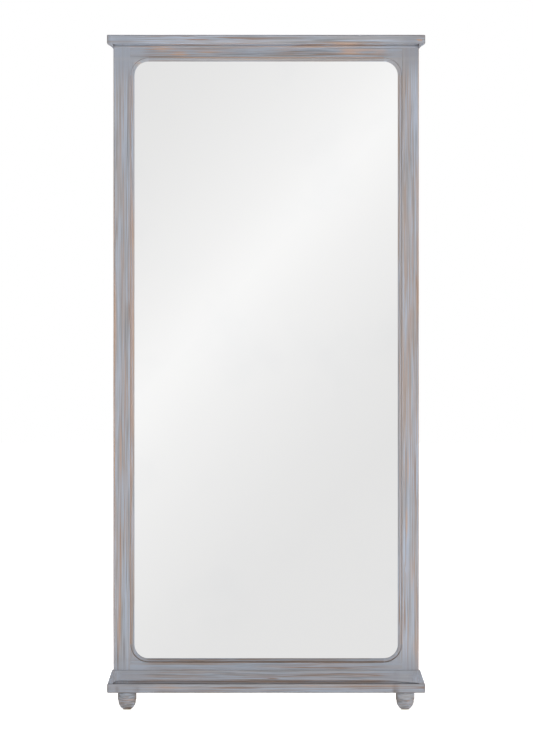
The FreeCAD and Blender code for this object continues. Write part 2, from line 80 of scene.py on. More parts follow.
def linear(level: int) -> float:
    """Linear share of an 8-bit screen level."""
    share = level / 255
    return share / 12.92 if share <= 0.04045 else ((share + 0.055) / 1.055) ** 2.4


def srgb(red: int, green: int, blue: int) -> Colour:
    """Linear colour of an 8-bit screen colour."""
    return linear(red), linear(green), linear(blue), 1.0


def spread(low: float, high: float, count: int) -> list[float]:
    """Even places from one end to the other."""
    return [low + (high - low) * index / (count - 1) for index in range(count)]


def bend(start: Vector, pull: Vector, end: Vector, shares: Iterable[float]) -> list[Vector]:
    """Points of a bend between two ends that is drawn towards a third place."""
    return [start * (1 - t) ** 2 + pull * 2 * t * (1 - t) + end * t**2 for t in shares]


def bowed(start: Vector, end: Vector, bow: Point, shares: Iterable[float]) -> list[Vector]:
    """Points of a bend whose middle stands off the straight line by a bow."""
    return bend(start, (start + end) / 2 + Vector(bow) * 2, end, shares)


class Axis(Enum):
    """Direction that a moulding runs in: the number of its axis, and the signs that turn its section."""

    ACROSS = (0, -1, -1)
    DEEP = (1, 1, -1)
    UPRIGHT = (2, 1, 1)


class Grain(Enum):
    """How the grain and the brush strokes lie, as the stretch of the pattern along X, Y and Z."""

    ACROSS = (0.018, 1.0, 1.0)
    DEEP = (1.0, 0.03, 1.0)
    UPRIGHT = (1.0, 1.0, 0.015)
    TURNED = (0.12, 0.12, 1.0)

    def scale(self, along: float) -> tuple[float, ...]:
        """Scale of the pattern for millimetres, with a share of the usual one along the grain."""
        return tuple(share * (along if share < 1 else 1) / MM for share in self.value)


class Edge(Enum):
    """How a corner of a section wears, or that it is a hollow, which gets waxing and painted shade."""

    PLAIN = "plain"
    WORN = "worn"
    HOLLOW = "hollow"


# Node trees


class Made:
    """Output of a node, its first unless another is asked for, with the sums that can be done on it."""

    def __init__(self, bench: Bench, node: bpy.types.Node, key: str | int = 0) -> None:
        """Keeps the node, its bench and which output is meant."""
        self.bench, self.node, self.key = bench, node, key

    def __getitem__(self, key: str | int) -> Made:
        """Another output of the same node."""
        return Made(self.bench, self.node, key)

    def __add__(self, other: object) -> Made:
        """Sum with a number or an output."""
        return self.bench.math("ADD", self, other)

    def __sub__(self, other: object) -> Made:
        """What is left when a number or an output is taken away."""
        return self.bench.math("SUBTRACT", self, other)

    def __rsub__(self, other: object) -> Made:
        """A number less this output."""
        return self.bench.math("SUBTRACT", other, self)

    def __mul__(self, other: object) -> Made:
        """Product with a number or an output."""
        return self.bench.math("MULTIPLY", self, other)

    def __truediv__(self, other: object) -> Made:
        """This output divided by a number or an output."""
        return self.bench.math("DIVIDE", self, other)

    def __abs__(self) -> Made:
        """This output without its sign."""
        return self.bench.math("ABSOLUTE", self)

    def kept(self) -> Made:
        """The same sum, kept from 0 to 1."""
        self.node.use_clamp = True
        return self


class Bench:
    """Adds and links the nodes of one tree."""

    def __init__(self, tree: bpy.types.NodeTree) -> None:
        """Keeps the tree to work on."""
        self.tree = tree

    def add(self, kind: str, feeds: Feeds | None = None, **settings: object) -> Made:
        """Adds a node.

        Args:
            kind: Blender's name of the node type.
            feeds: what each input gets, by name or number: a value, an output or a list of outputs.
            **settings: the node's own options.

        Returns:
            The node's first output.
        """
        node = self.tree.nodes.new(kind)
        for name, value in settings.items():
            setattr(node, name, value)
        for key, value in (feeds or {}).items():
            for one in value if isinstance(value, list) else [value]:
                if isinstance(one, Made):
                    self.tree.links.new(one.node.outputs[one.key], node.inputs[key])
                else:
                    node.inputs[key].default_value = one
        return Made(self, node)

    def math(self, operation: str, first: object, second: object = 0.0) -> Made:
        """Result of one sum, by Blender's name of it."""
        return self.add("ShaderNodeMath", {0: first, 1: second}, operation=operation)

    def blend(self, share: object, first: object, second: object) -> Made:
        """Mix of two colours, by the share of the second."""
        return self.add("ShaderNodeMix", {0: share, 6: first, 7: second}, data_type="RGBA")[2]

    def ramp(
        self, value: object, low: float, high: float, to_low: float = 0.0, to_high: object = 1.0
    ) -> Made:
        """Soft step between two levels.

        Args:
            value: number or output to grade.
            low: level that gives to_low.
            high: level that gives to_high.
            to_low: result at the low level.
            to_high: result at the high level.

        Returns:
            The graded number.
        """
        feeds = {"Value": value, "From Min": low, "From Max": high, "To Min": to_low, "To Max": to_high}
        return self.add("ShaderNodeMapRange", feeds, interpolation_type="SMOOTHSTEP")

    def noise(self, place: object, scale: float, detail: float, rough: float, seed: object) -> Made:
        """Soft noise around 0.5.

        Args:
            place: where it is read.
            scale: waves for each unit of the place.
            detail: how many finer waves are laid over it.
            rough: how strong the finer waves are.
            seed: which noise it is.

        Returns:
            The noise.
        """
        feeds = {"Vector": place, "W": seed, "Scale": scale, "Detail": detail, "Roughness": rough}
        return self.add("ShaderNodeTexNoise", feeds, noise_dimensions="4D")

    def group(self, tree: bpy.types.NodeTree, feeds: Feeds) -> Made:
        """Places a shader group."""
        return self.add("ShaderNodeGroup", feeds, node_tree=tree)


class Group(Bench):
    """Node group with named inputs and outputs."""

    def __init__(self, name: str, kind: str, inputs: dict[str, object], outputs: dict[str, str]) -> None:
        """Starts the group.

        Args:
            name: the group's name.
            kind: type of its tree.
            inputs: socket type of each input, or else a number, which is its default.
            outputs: socket type of each output.
        """
        super().__init__(bpy.data.node_groups.new(name, kind))
        numbers = {bool: "Bool", int: "Int", float: "Float"}
        for label, given in inputs.items():
            socket = self.socket(label, "INPUT", numbers.get(type(given), given))
            if type(given) in numbers:
                socket.default_value = given
        for label, sort in outputs.items():
            self.socket(label, "OUTPUT", sort)
        self.given = self.add("NodeGroupInput")

    def socket(self, label: str, way: str, sort: str) -> bpy.types.NodeTreeInterfaceSocket:
        """Adds a named input or output."""
        return self.tree.interface.new_socket(name=label, in_out=way, socket_type="NodeSocket" + sort)

    def end(self, **results: object) -> bpy.types.NodeTree:
        """Feeds the group's outputs and hands over its tree."""
        self.add("NodeGroupOutput", results)
        return self.tree

    def end_geometry(self, shape: Made) -> bpy.types.NodeTree:
        """Ends a geometry tree with real faces in the finish that was given.

        Args:
            shape: the geometry.

        Returns:
            The tree.
        """
        plain = self.add("GeometryNodeRealizeInstances", {"Geometry": shape})
        feeds = {"Geometry": plain, "Material": self.given["Finish"]}
        return self.end(Geometry=self.add("GeometryNodeSetMaterial", feeds))


class Coat(Bench):
    """Nodes of a new material."""

    def __init__(self, name: str) -> None:
        """Starts the material without nodes.

        Args:
            name: the material's name.
        """
        self.material = bpy.data.materials.new(name)
        self.material.use_nodes = True
        self.material.node_tree.nodes.clear()
        super().__init__(self.material.node_tree)

    def place(self) -> Made:
        """Place in the object's own space."""
        return self.add("ShaderNodeTexCoord")["Object"]

    def mark(self, name: str) -> Made:
        """Number that the mesh carries at each point, or 0 where it has none."""
        return self.add("ShaderNodeAttribute", attribute_name=name)["Fac"]

    def grain(self, grain: Grain, shift: float, along: float = 1.0) -> Made:
        """Place in millimetres across the grain, drawn out along it.

        Args:
            grain: direction of the grain.
            shift: how far the pattern is moved, so that pieces differ.
            along: scale along the grain, as a share of the usual one; less makes longer strokes.

        Returns:
            The place.
        """
        shifts = shift, shift * 2, shift * 3
        feeds = {"Vector": self.place(), "Scale": grain.scale(along), "Location": shifts}
        return self.add("ShaderNodeMapping", feeds)

    def end(self, shader: Made) -> bpy.types.Material:
        """Ends the material with its shader."""
        self.add("ShaderNodeOutputMaterial", {"Surface": shader})
        return self.material

    def paint(
        self,
        colour: Made,
        rough: Made,
        relief: tuple[float, float, Made] | None = None,
        metallic: float = 0.0,
    ) -> bpy.types.Material:
        """Ends the material with a principled shader.

        Args:
            colour: its colour.
            rough: its roughness.
            relief: strength, distance and height of its bump, if it has one.
            metallic: how much of a metal it is.

        Returns:
            The material.
        """
        feeds = {"Base Color": colour, "Roughness": rough, "Metallic": metallic}
        if relief:
            bump = dict(zip(("Strength", "Distance", "Height"), relief))
            feeds["Normal"] = self.add("ShaderNodeBump", bump)
        return self.end(self.add("ShaderNodeBsdfPrincipled", feeds))


# Shader groups


@dataclass(frozen=True)
class PaintColours:
    """Colours of the paint, the wood under it, the dark brown of waxed hollows that also serves as painted
    shade, and the light grey of painted highlights.
    """

    main: Colour = srgb(170, 170, 175)
    cool: Colour = srgb(178, 187, 202)
    warm: Colour = srgb(171, 154, 145)
    deep: Colour = srgb(126, 130, 134)
    brown: Colour = srgb(146, 118, 100)
    wood: Colour = srgb(208, 168, 136)
    wood_dark: Colour = srgb(170, 130, 102)
    # Dark brown of waxing and dirt, also laid on as painted shade.
    wax_and_shade: Colour = srgb(104, 88, 74)
    plain: Colour = srgb(150, 155, 166)
    # Light grey of painted highlights.
    pale: Colour = srgb(178, 176, 177)
    calm_tone: float = 0.93


class ShaderGroups:
    """The effects that several materials use, each built once."""

    def __init__(self) -> None:
        """Builds all the groups."""
        self.colours = PaintColours()
        self.strokes = self.brushed_paint()
        self.wear = self.edge_wear()
        self.band = self.grimy_band()
        self.wood = self.wood_grain()
        self.speckle = self.fine_speckle()

    def brushed_paint(self) -> bpy.types.NodeTree:
        """Long strokes of several greys, one over another, with thin brown lines where the grain shows.

        Returns:
            The group's tree.
        """
        numbers = {"Seed": 0.0, "Warmth": 0.5, "Depth": 1.0, "Calm": 0.0}
        inputs = {"Vector": "Vector", "Fine Vector": "Vector", **numbers}
        bench = Group("brushed_paint", SHADER, inputs, COLOUR_AND_HEIGHT)
        vector, fine, seed = (bench.given[name] for name in ("Vector", "Fine Vector", "Seed"))
        tints = self.colours

        def strokes(scale: float, shift: float, low: float, high: float, place: Made = vector) -> Made:
            """Mask of strokes of one width."""
            return bench.ramp(bench.noise(place, scale, 2.0, 0.55, seed + shift), low, high)

        def lines(scale: float, shift: float, width: float) -> Made:
            """Mask of thin lines that run with the grain and break off."""
            off = abs(bench.noise(vector, scale, 1.0, 0.5, seed + shift) - 0.5)
            return bench.ramp(off, width * 0.3, width, 1.0, 0.0) * strokes(0.16, shift + 1.0, 0.46, 0.6)

        lively = 1.0 - bench.given["Calm"] * 0.8
        warmth, depth = lively * bench.given["Warmth"], lively * bench.given["Depth"]
        # Tint, place, scale, seed, first and last level, strength, and what weakens the layer.
        layers = (
            (tints.warm, vector, 0.045, 1.9, 0.48, 0.62, 0.7, warmth),
            (tints.cool, vector, 0.11, 3.1, 0.48, 0.58, 0.8, 1.0),
            (tints.warm, vector, 0.13, 5.3, 0.5, 0.58, 1.2, warmth),
            (tints.deep, vector, 0.16, 9.1, 0.53, 0.63, 0.6, depth),
            (tints.cool, vector, 0.27, 7.7, 0.52, 0.61, 0.7, 1.0),
            (tints.warm, fine, 0.24, 12.3, 0.52, 0.6, 1.2, warmth),
            (tints.deep, fine, 0.36, 6.1, 0.53, 0.62, 0.65, depth),
            (tints.cool, fine, 0.38, 8.9, 0.53, 0.6, 0.85, lively),
        )
        colour: object = tints.main
        for tint, place, scale, shift, low, high, strength, share in layers:
            mask = strokes(scale, shift, low, high, place) * (share * strength)
            colour = bench.blend(mask.kept(), colour, tint)
        colour = bench.blend(lines(0.1, 13.0, 0.025) * (lively * 0.8), colour, tints.brown)
        colour = bench.blend(lines(0.14, 17.0, 0.02) * 0.7, colour, tints.cool)
        hair = bench.noise(vector, 1.1, 3.0, 0.65, seed + 11.3)
        colour = bench.blend(bench.ramp(hair, 0.45, 0.75, 0.0, 0.4), colour, tints.deep)
        return bench.end(Color=colour, Height=hair * 0.8 + strokes(0.11, 3.1, 0.35, 0.65) * 0.4)

    @staticmethod
    def edge_wear() -> bpy.types.NodeTree:
        """Where paint is rubbed through: along arrises, in rubbed places and in thin streaks of the grain.

        Returns:
            The group's tree.
        """
        marks = {"Arris": 0.0, "Rubbed": 0.0, "Calm": 0.0}
        inputs = {"Vector": "Vector", "Seed": 0.0, **marks, "Amount": 0.5, "Arris Share": 0.2}
        bench = Group("edge_wear", SHADER, inputs, {"Mask": "Float"})
        given = bench.given
        streak = bench.noise(given["Vector"], 0.26, 3.0, 0.62, given["Seed"] + 23.0)
        patch = bench.noise(given["Vector"], 0.05, 1.0, 0.5, given["Seed"] + 29.0)
        drive = streak * 0.65 + patch * 0.35
        pulls = {"Arris": given["Arris Share"], "Rubbed": 0.22, "Amount": 0.12, "Calm": -0.1}
        for name, share in pulls.items():
            drive = drive + given[name] * share
        return bench.end(Mask=bench.ramp(drive, 0.6, 0.8))

    @staticmethod
    def grimy_band() -> bpy.types.NodeTree:
        """Painted shade in a band at one level, weaker towards the ends.

        Returns:
            The group's tree.
        """
        numbers = {"Level": 0.0, "Half Height": 3 * MM, "Middle": 0.0, "Reach": 1.0, "Strength": 1.0}
        bench = Group("grimy_band", SHADER, {"Vector": "Vector", **numbers}, {"Mask": "Float"})
        given = bench.given
        place = bench.add("ShaderNodeSeparateXYZ", {0: given["Vector"]})
        drawn = bench.add("ShaderNodeMapping", {"Vector": given["Vector"], "Scale": (20.0, 20.0, 700.0)})
        ragged = bench.ramp(bench.noise(drawn, 1.0, 3.0, 0.6, 3.0), 0.3, 0.7, 0.75, 1.25)
        off = abs(place["Z"] - given["Level"]) / (given["Half Height"] * ragged)
        side = abs(place["X"] - given["Middle"]) / given["Reach"]
        mask = bench.ramp(off, 0.7, 1.2, 1.0, 0.0) * bench.ramp(side, 0.85, 1.05, 1.0, 0.2)
        return bench.end(Mask=mask * given["Strength"])

    @staticmethod
    def wood_grain() -> bpy.types.NodeTree:
        """Early and late wood in long lines, with fine pores.

        Returns:
            The group's tree.
        """
        inputs = {"Vector": "Vector", "Seed": 0.0, "Light": "Color", "Dark": "Color"}
        bench = Group("wood_grain", SHADER, inputs, COLOUR_AND_HEIGHT)
        given = bench.given
        rings = bench.math("PINGPONG", bench.noise(given["Vector"], 0.22, 3.0, 0.6, given["Seed"]) * 9.0, 1.0)
        pores = bench.noise(given["Vector"], 1.6, 2.0, 0.6, given["Seed"] + 5.0)
        share = (rings * 0.6 + bench.ramp(pores, 0.5, 0.75, 0.0, 0.5)).kept()
        return bench.end(Color=bench.blend(share, given["Light"], given["Dark"]), Height=1.0 - share)

    @staticmethod
    def fine_speckle() -> bpy.types.NodeTree:
        """Even fine specks over a broad cloud, for pressed board, plated metal, rubber and nylon.

        Returns:
            The group's tree.
        """
        scales = {"Speck Scale": 900.0, "Cloud Scale": 12.0}
        inputs = {"Vector": "Vector", **scales, "Light": "Color", "Dark": "Color"}
        bench = Group("fine_speckle", SHADER, inputs, COLOUR_AND_HEIGHT)
        given = bench.given
        place = {"Vector": given["Vector"]}
        speck = bench.add("ShaderNodeTexNoise", {**place, "Scale": given["Speck Scale"], "Detail": 2.0})
        cloud = bench.add("ShaderNodeTexNoise", {**place, "Scale": given["Cloud Scale"], "Detail": 3.0})
        share = (bench.ramp(speck, 0.4, 0.7, 0.0, 0.6) + bench.ramp(cloud, 0.35, 0.7, 0.0, 0.4)).kept()
        return bench.end(Color=bench.blend(share, given["Light"], given["Dark"]), Height=speck)


# Finishes


@dataclass(frozen=True)
class ShadeBand:
    """Level band of painted shade."""

    level: float
    half: float
    strength: float
    reach: float = 1.0
    middle: float = 0.0


@dataclass(frozen=True)
class PaintedWood:
    """Brushed grey-blue paint over softwood, rubbed through and waxed in the hollows, with painted shade and
    painted highlights laid over it.
    """

    name: str
    grain: Grain
    seed: float
    warmth: float
    wear: float
    tone: float
    edge: float
    # Strength of the dark brown in the hollows: real waxing, made stronger on the lower and more shaded
    # pieces as painted shade.
    wax_and_shade: float = 0.5
    depth: float = 1.0
    bare_behind: float = 1.0
    shade_bands: tuple[ShadeBand, ...] = ()
    turns_to: Grain | None = None
    turned_seed: float = 0.0
    roughness: float = 0.55
    bare_roughness: float = 0.78
    through: float = 0.62
    fine_along: float = 0.8
    paint_end: Point = (24.5 * MM, 25.5 * MM)
    paint_waver: float = 8 * MM

    def layers(self, coat: Coat, groups: ShaderGroups, grain: Grain, seed: float) -> list[Made]:
        """Paint, wood, relief and wear for one direction of the grain.

        Args:
            coat: the material's nodes.
            groups: shared shader groups.
            grain: direction of the grain.
            seed: which strokes it gets.

        Returns:
            Paint colour, wood colour, paint height and worn mask.
        """
        shared = {"Vector": coat.grain(grain, seed), "Seed": seed}
        fine, calm = coat.grain(grain, seed, self.fine_along), coat.mark("calm")
        brushed = {"Fine Vector": fine, "Warmth": self.warmth, "Depth": self.depth, "Calm": calm}
        marks = {"Arris": coat.mark("arris"), "Rubbed": coat.mark("rubbed"), "Calm": calm}
        shares = {"Amount": self.wear, "Arris Share": self.edge}
        tints = {"Light": groups.colours.wood, "Dark": groups.colours.wood_dark}
        paint = coat.group(groups.strokes, {**shared, **brushed})
        worn = coat.group(groups.wear, {**shared, **marks, **shares})
        wood = coat.group(groups.wood, {**shared, **tints})
        return [paint["Color"], wood["Color"], paint["Height"], worn["Mask"]]

    def bare_back(self, coat: Coat) -> Made:
        """Mask of the bare wood behind a ragged edge of paint near the back of the frame.

        Args:
            coat: the material's nodes.

        Returns:
            The mask.
        """
        place = coat.place()
        ragged = (coat.noise(place, 30.0, 4.0, 0.6, self.seed) - 0.5) * self.paint_waver
        depth = coat.add("ShaderNodeSeparateXYZ", {0: place})["Y"] + ragged
        return coat.ramp(depth, *self.paint_end) * self.bare_behind

    def build(self, groups: ShaderGroups) -> bpy.types.Material:
        """Makes the material.

        Args:
            groups: shared shader groups.

        Returns:
            The material.
        """
        coat, tints = Coat("painted_" + self.name), groups.colours
        paint, wood, height, worn = self.layers(coat, groups, self.grain, self.seed)
        if self.turns_to:
            others = self.layers(coat, groups, self.turns_to, self.turned_seed)
            turn = coat.ramp(coat.mark("around"), 0.35, 0.65)
            paint, wood = (coat.blend(turn, *pair) for pair in zip((paint, wood), others))
            height, worn = (
                coat.add("ShaderNodeMix", {0: turn, 2: one, 3: other})
                for one, other in zip((height, worn), others[2:])
            )
        calm = coat.mark("calm")
        bare = coat.math("MAXIMUM", worn * self.through, self.bare_back(coat))
        tone = coat.ramp(calm, 0.0, 1.0, self.tone, tints.calm_tone)
        feeds = {0: 1.0, 6: paint, 7: tone}
        colour = coat.add("ShaderNodeMix", feeds, data_type="RGBA", blend_type="MULTIPLY")[2]
        colour = coat.blend(calm * 0.55, colour, tints.plain)
        # Painted highlight: light grey where the spots of painted light lie.
        colour = coat.blend(coat.mark("pale") * 0.7, colour, tints.pale)
        colour = coat.blend(bare, colour, wood)
        patches = coat.noise(coat.grain(self.grain, self.seed), 0.12, 3.0, 0.6, self.seed + 31)
        patchy = coat.ramp(patches, 0.3, 0.62, 0.6, 1.0)
        # Dark brown in the hollows: patchy waxing, made stronger on some pieces as painted shade.
        wax_dirt_and_shade = coat.ramp(coat.mark("hollow"), 0.2, 0.8) * patchy * self.wax_and_shade
        # Painted shade in level strips, such as the recess above the plinth.
        for band in self.shade_bands:
            height_feeds = {"Level": band.level, "Half Height": band.half, "Strength": band.strength}
            side_feeds = {"Middle": band.middle, "Reach": band.reach}
            shade_in_band = coat.group(groups.band, {"Vector": coat.place(), **height_feeds, **side_feeds})
            wax_dirt_and_shade = coat.math("MAXIMUM", wax_dirt_and_shade, shade_in_band)
        # Spots of dirt and painted shade, such as round the feet and along the bottom lip.
        wax_dirt_and_shade = coat.math("MAXIMUM", wax_dirt_and_shade, coat.mark("grimy") * patchy)
        rough = coat.ramp(bare, 0.0, 1.0, self.roughness, self.bare_roughness)
        # Dark brown of waxing, dirt and painted shade laid over the paint.
        return coat.paint(coat.blend(wax_dirt_and_shade, colour, tints.wax_and_shade), rough, (0.35, 0.4 * MM, height - bare * 0.8))


@dataclass(frozen=True)
class BareWood:
    """Planed softwood with no finish."""

    name: str
    grain: Grain
    seed: float
    light: Colour = srgb(205, 172, 132)
    dark: Colour = srgb(172, 132, 92)

    def build(self, groups: ShaderGroups) -> bpy.types.Material:
        """Makes the material from the shared wood grain.

        Args:
            groups: shared shader groups.

        Returns:
            The material.
        """
        coat = Coat(self.name)
        feeds = {"Vector": coat.grain(self.grain, self.seed), "Seed": self.seed}
        wood = coat.group(groups.wood, {**feeds, "Light": self.light, "Dark": self.dark})
        rough = coat.ramp(wood["Height"], 0.0, 1.0, 0.8, 0.65)
        return coat.paint(wood["Color"], rough, (0.3, 0.3 * MM, wood["Height"]))


@dataclass(frozen=True)
class SpeckledStuff:
    """Even stuff with fine specks: pressed board, plated metal, rubber, nylon or brass."""

    name: str
    light: Colour
    dark: Colour
    speck: float
    cloud: float
    metallic: float
    roughness: Point
    bump: float

    def build(self, groups: ShaderGroups) -> bpy.types.Material:
        """Makes the material from the shared speckle.

        Args:
            groups: shared shader groups.

        Returns:
            The material.
        """
        coat = Coat(self.name)
        feeds = {"Vector": coat.place(), "Speck Scale": self.speck, "Cloud Scale": self.cloud}
        specks = coat.group(groups.speckle, {**feeds, "Light": self.light, "Dark": self.dark})
        rough = coat.ramp(specks["Height"], 0.3, 0.7, *self.roughness)
        return coat.paint(specks["Color"], rough, (self.bump, 0.2 * MM, specks["Height"]), self.metallic)


@dataclass(frozen=True)
class SilveredGlass:
    """Front of the mirror: silvering behind clear glass, with the faintest smears."""

    name: str = "mirror_glass"
    tint: Colour = (0.866, 0.865, 0.863, 1.0)
    smear: Colour = (0.845, 0.847, 0.85, 1.0)

    def build(self) -> bpy.types.Material:
        """Makes the material.

        Returns:
            The material.
        """
        coat = Coat(self.name)
        cloud = coat.ramp(coat.noise(coat.place(), 3.5, 3.0, 0.55, 4.0), 0.5, 0.75)
        rough = coat.ramp(cloud, 0.0, 1.0, 0.004, 0.02)
        return coat.paint(coat.blend(cloud, self.tint, self.smear), rough, metallic=1.0)


class Finishes:
    """Every material of the mirror, by the name of the piece or stuff that wears it."""

    def __init__(self) -> None:
        """Builds the groups and the materials."""
        # Painted shade in level strips: the recess above the plinth, and on the bottom rail the upward-facing
        # groove under the glass.
        gaps = (ShadeBand(0.0765, 0.0045, 0.43, 0.37, -0.03),)
        low = (*gaps, ShadeBand(0.1303, 0.0016, 1.0, 0.325))
        across, upright = Grain.ACROSS, Grain.UPRIGHT
        turning = {"turns_to": across, "turned_seed": 4.0}
        # Grain, seed, warmth, wear, tone, edge, and for some the strength of waxing and painted shade in the
        # hollows, depth and bare wood behind.
        painted = (
            PaintedWood("left_stile", upright, 2.0, 0.6, 0.3, 1.02, 0.38, 0.3, shade_bands=gaps),
            PaintedWood("right_stile", upright, 2.0, 1.05, 0.55, 1.02, 0.26, 0.0, shade_bands=gaps),
            PaintedWood("top_rail", across, 4.0, 1.05, 0.6, 0.8, 0.28, 0.55, shade_bands=gaps),
            PaintedWood("bottom_rail", across, 4.0, 0.6, 0.3, 0.76, 0.24, 1.0, 0.5, shade_bands=low),
            PaintedWood("top_corner_block", upright, 2.0, 0.4, 0.1, 0.95, 0.1, 0.6, **turning),
            PaintedWood("bottom_corner_block", upright, 2.0, 0.4, 0.1, 0.93, 0.14, 1.0, **turning),
            # The cornice's strip darkens its top edge and the plinth's its bottom edge, as painted shade.
            PaintedWood("cornice", across, 15.0, 0.2, 0.0, 1.08, 0.04, shade_bands=(ShadeBand(1.829, 0.003, 0.25),)),
            PaintedWood("cornice_moulding", across, 18.0, 0.75, 0.55, 0.92, 0.12, 0.35),
            PaintedWood("return", Grain.DEEP, 21.0, 0.3, 0.2, 0.88, 0.12),
            PaintedWood("plinth", across, 24.0, 0.4, 0.3, 0.85, 0.02, shade_bands=(ShadeBand(0.0475, 0.0025, 0.55),)),
            PaintedWood(
                "base", upright, 2.0, 0.55, 0.25, 0.84, 0.08, 0.0, 1.4, turns_to=across, turned_seed=27.0
            ),
            PaintedWood("foot", Grain.TURNED, 30.0, 0.35, 0.35, 0.88, 0.16, 0.5, 2.6, 0.0),
        )
        bare = BareWood("bare_wood_upright", upright, 3.0), BareWood("bare_wood_across", across, 5.0)
        # Light and dark colours, scales of the specks and clouds, share of metal, roughness and bump.
        stuff = {
            "hardboard": (srgb(158, 122, 90), srgb(130, 97, 69), 700, 6, 0, (0.7, 0.85), 0.5),
            "zinc_plated_steel": (srgb(196, 199, 202), srgb(160, 164, 168), 260, 40, 1, (0.28, 0.42), 0.1),
            "brass_insert": (srgb(214, 178, 104), srgb(176, 140, 78), 400, 60, 1, (0.3, 0.45), 0.1),
            "black_rubber": (srgb(48, 48, 50), srgb(30, 30, 32), 1400, 80, 0, (0.6, 0.8), 0.35),
            "nylon_glide": (srgb(222, 218, 206), srgb(196, 190, 176), 900, 70, 0, (0.4, 0.55), 0.15),
            "silvering_paint": (srgb(120, 122, 126), srgb(96, 98, 103), 500, 9, 0, (0.5, 0.7), 0.2),
        }
        speckled = [SpeckledStuff(name, *values) for name, values in stuff.items()]
        groups = ShaderGroups()
        self.by_name = {kind.name: kind.build(groups) for kind in (*painted, *bare, *speckled)}
        self.by_name["mirror_glass"] = SilveredGlass().build()

    def __getitem__(self, name: str) -> bpy.types.Material:
        """Material of that name."""
        return self.by_name[name]


# Meshes


def linked(name: str, mesh: bpy.types.Mesh) -> bpy.types.Object:
    """New object of a mesh, in the scene.

    Args:
        name: the object's name.
        mesh: its mesh.

    Returns:
        The object.
    """
    piece = bpy.data.objects.new(name, mesh)
    bpy.context.scene.collection.objects.link(piece)
    return piece


def add_mark(mesh: bpy.types.Mesh, name: str, values: Sequence[float]) -> None:
    """Lets each point of a mesh carry a number."""
    mesh.attributes.new(name, "FLOAT", "POINT").data.foreach_set("value", values)


def mesh_of(
    name: str, points: Iterable, edges: Sequence, faces: Sequence, marks: dict[str, list[float]]
) -> bpy.types.Mesh:
    """New mesh that carries a number for each point under each mark's name.

    Args:
        name: the mesh's name.
        points: its points.
        edges: pairs of points.
        faces: loops of points.
        marks: numbers for all the points, by mark.

    Returns:
        The mesh.
    """
    mesh = bpy.data.meshes.new(name)
    mesh.from_pydata([tuple(point) for point in points], edges, faces)
    for mark, values in marks.items():
        add_mark(mesh, mark, values)
    return mesh


def face_outward(mesh: bpy.types.Mesh) -> None:
    """Turns every face of a closed mesh outwards.

    Args:
        mesh: the mesh.
    """
    work = bmesh.new()
    work.from_mesh(mesh)
    bmesh.ops.recalc_face_normals(work, faces=work.faces)
    work.to_mesh(mesh)
    work.free()


def soften(mesh: bpy.types.Mesh, angle: float = 38.0) -> None:
    """Shades a mesh smooth, with corners over the angle kept sharp."""
    mesh.shade_smooth()
    mesh.set_sharp_from_angle(angle=math.radians(angle))


def made_plain(piece: bpy.types.Object) -> bpy.types.Object:
    """Replaces a piece's mesh by the result of its modifiers, and removes them.

    Args:
        piece: the piece.

    Returns:
        The piece.
    """
    graph = bpy.context.evaluated_depsgraph_get()
    graph.update()
    old = piece.data
    evaluated = piece.evaluated_get(graph)
    piece.data = bpy.data.meshes.new_from_object(evaluated, preserve_all_data_layers=True, depsgraph=graph)
    piece.modifiers.clear()
    bpy.data.meshes.remove(old)
    return piece


def through_tree(
    piece: bpy.types.Object, tree: bpy.types.NodeTree, values: dict[str, object]
) -> bpy.types.Object:
    """Runs a geometry tree on a piece and keeps the result as its plain mesh.

    Args:
        piece: the piece.
        tree: geometry tree.
        values: what each named input gets.

    Returns:
        The piece.
    """
    modifier = piece.modifiers.new(tree.name, "NODES")
    modifier.node_group = tree
    for item in tree.interface.items_tree:
        if item.item_type == "SOCKET" and item.in_out == "INPUT" and item.name in values:
            modifier[item.identifier] = values[item.name]
    made_plain(piece)
    face_outward(piece.data)
    soften(piece.data)
    return piece


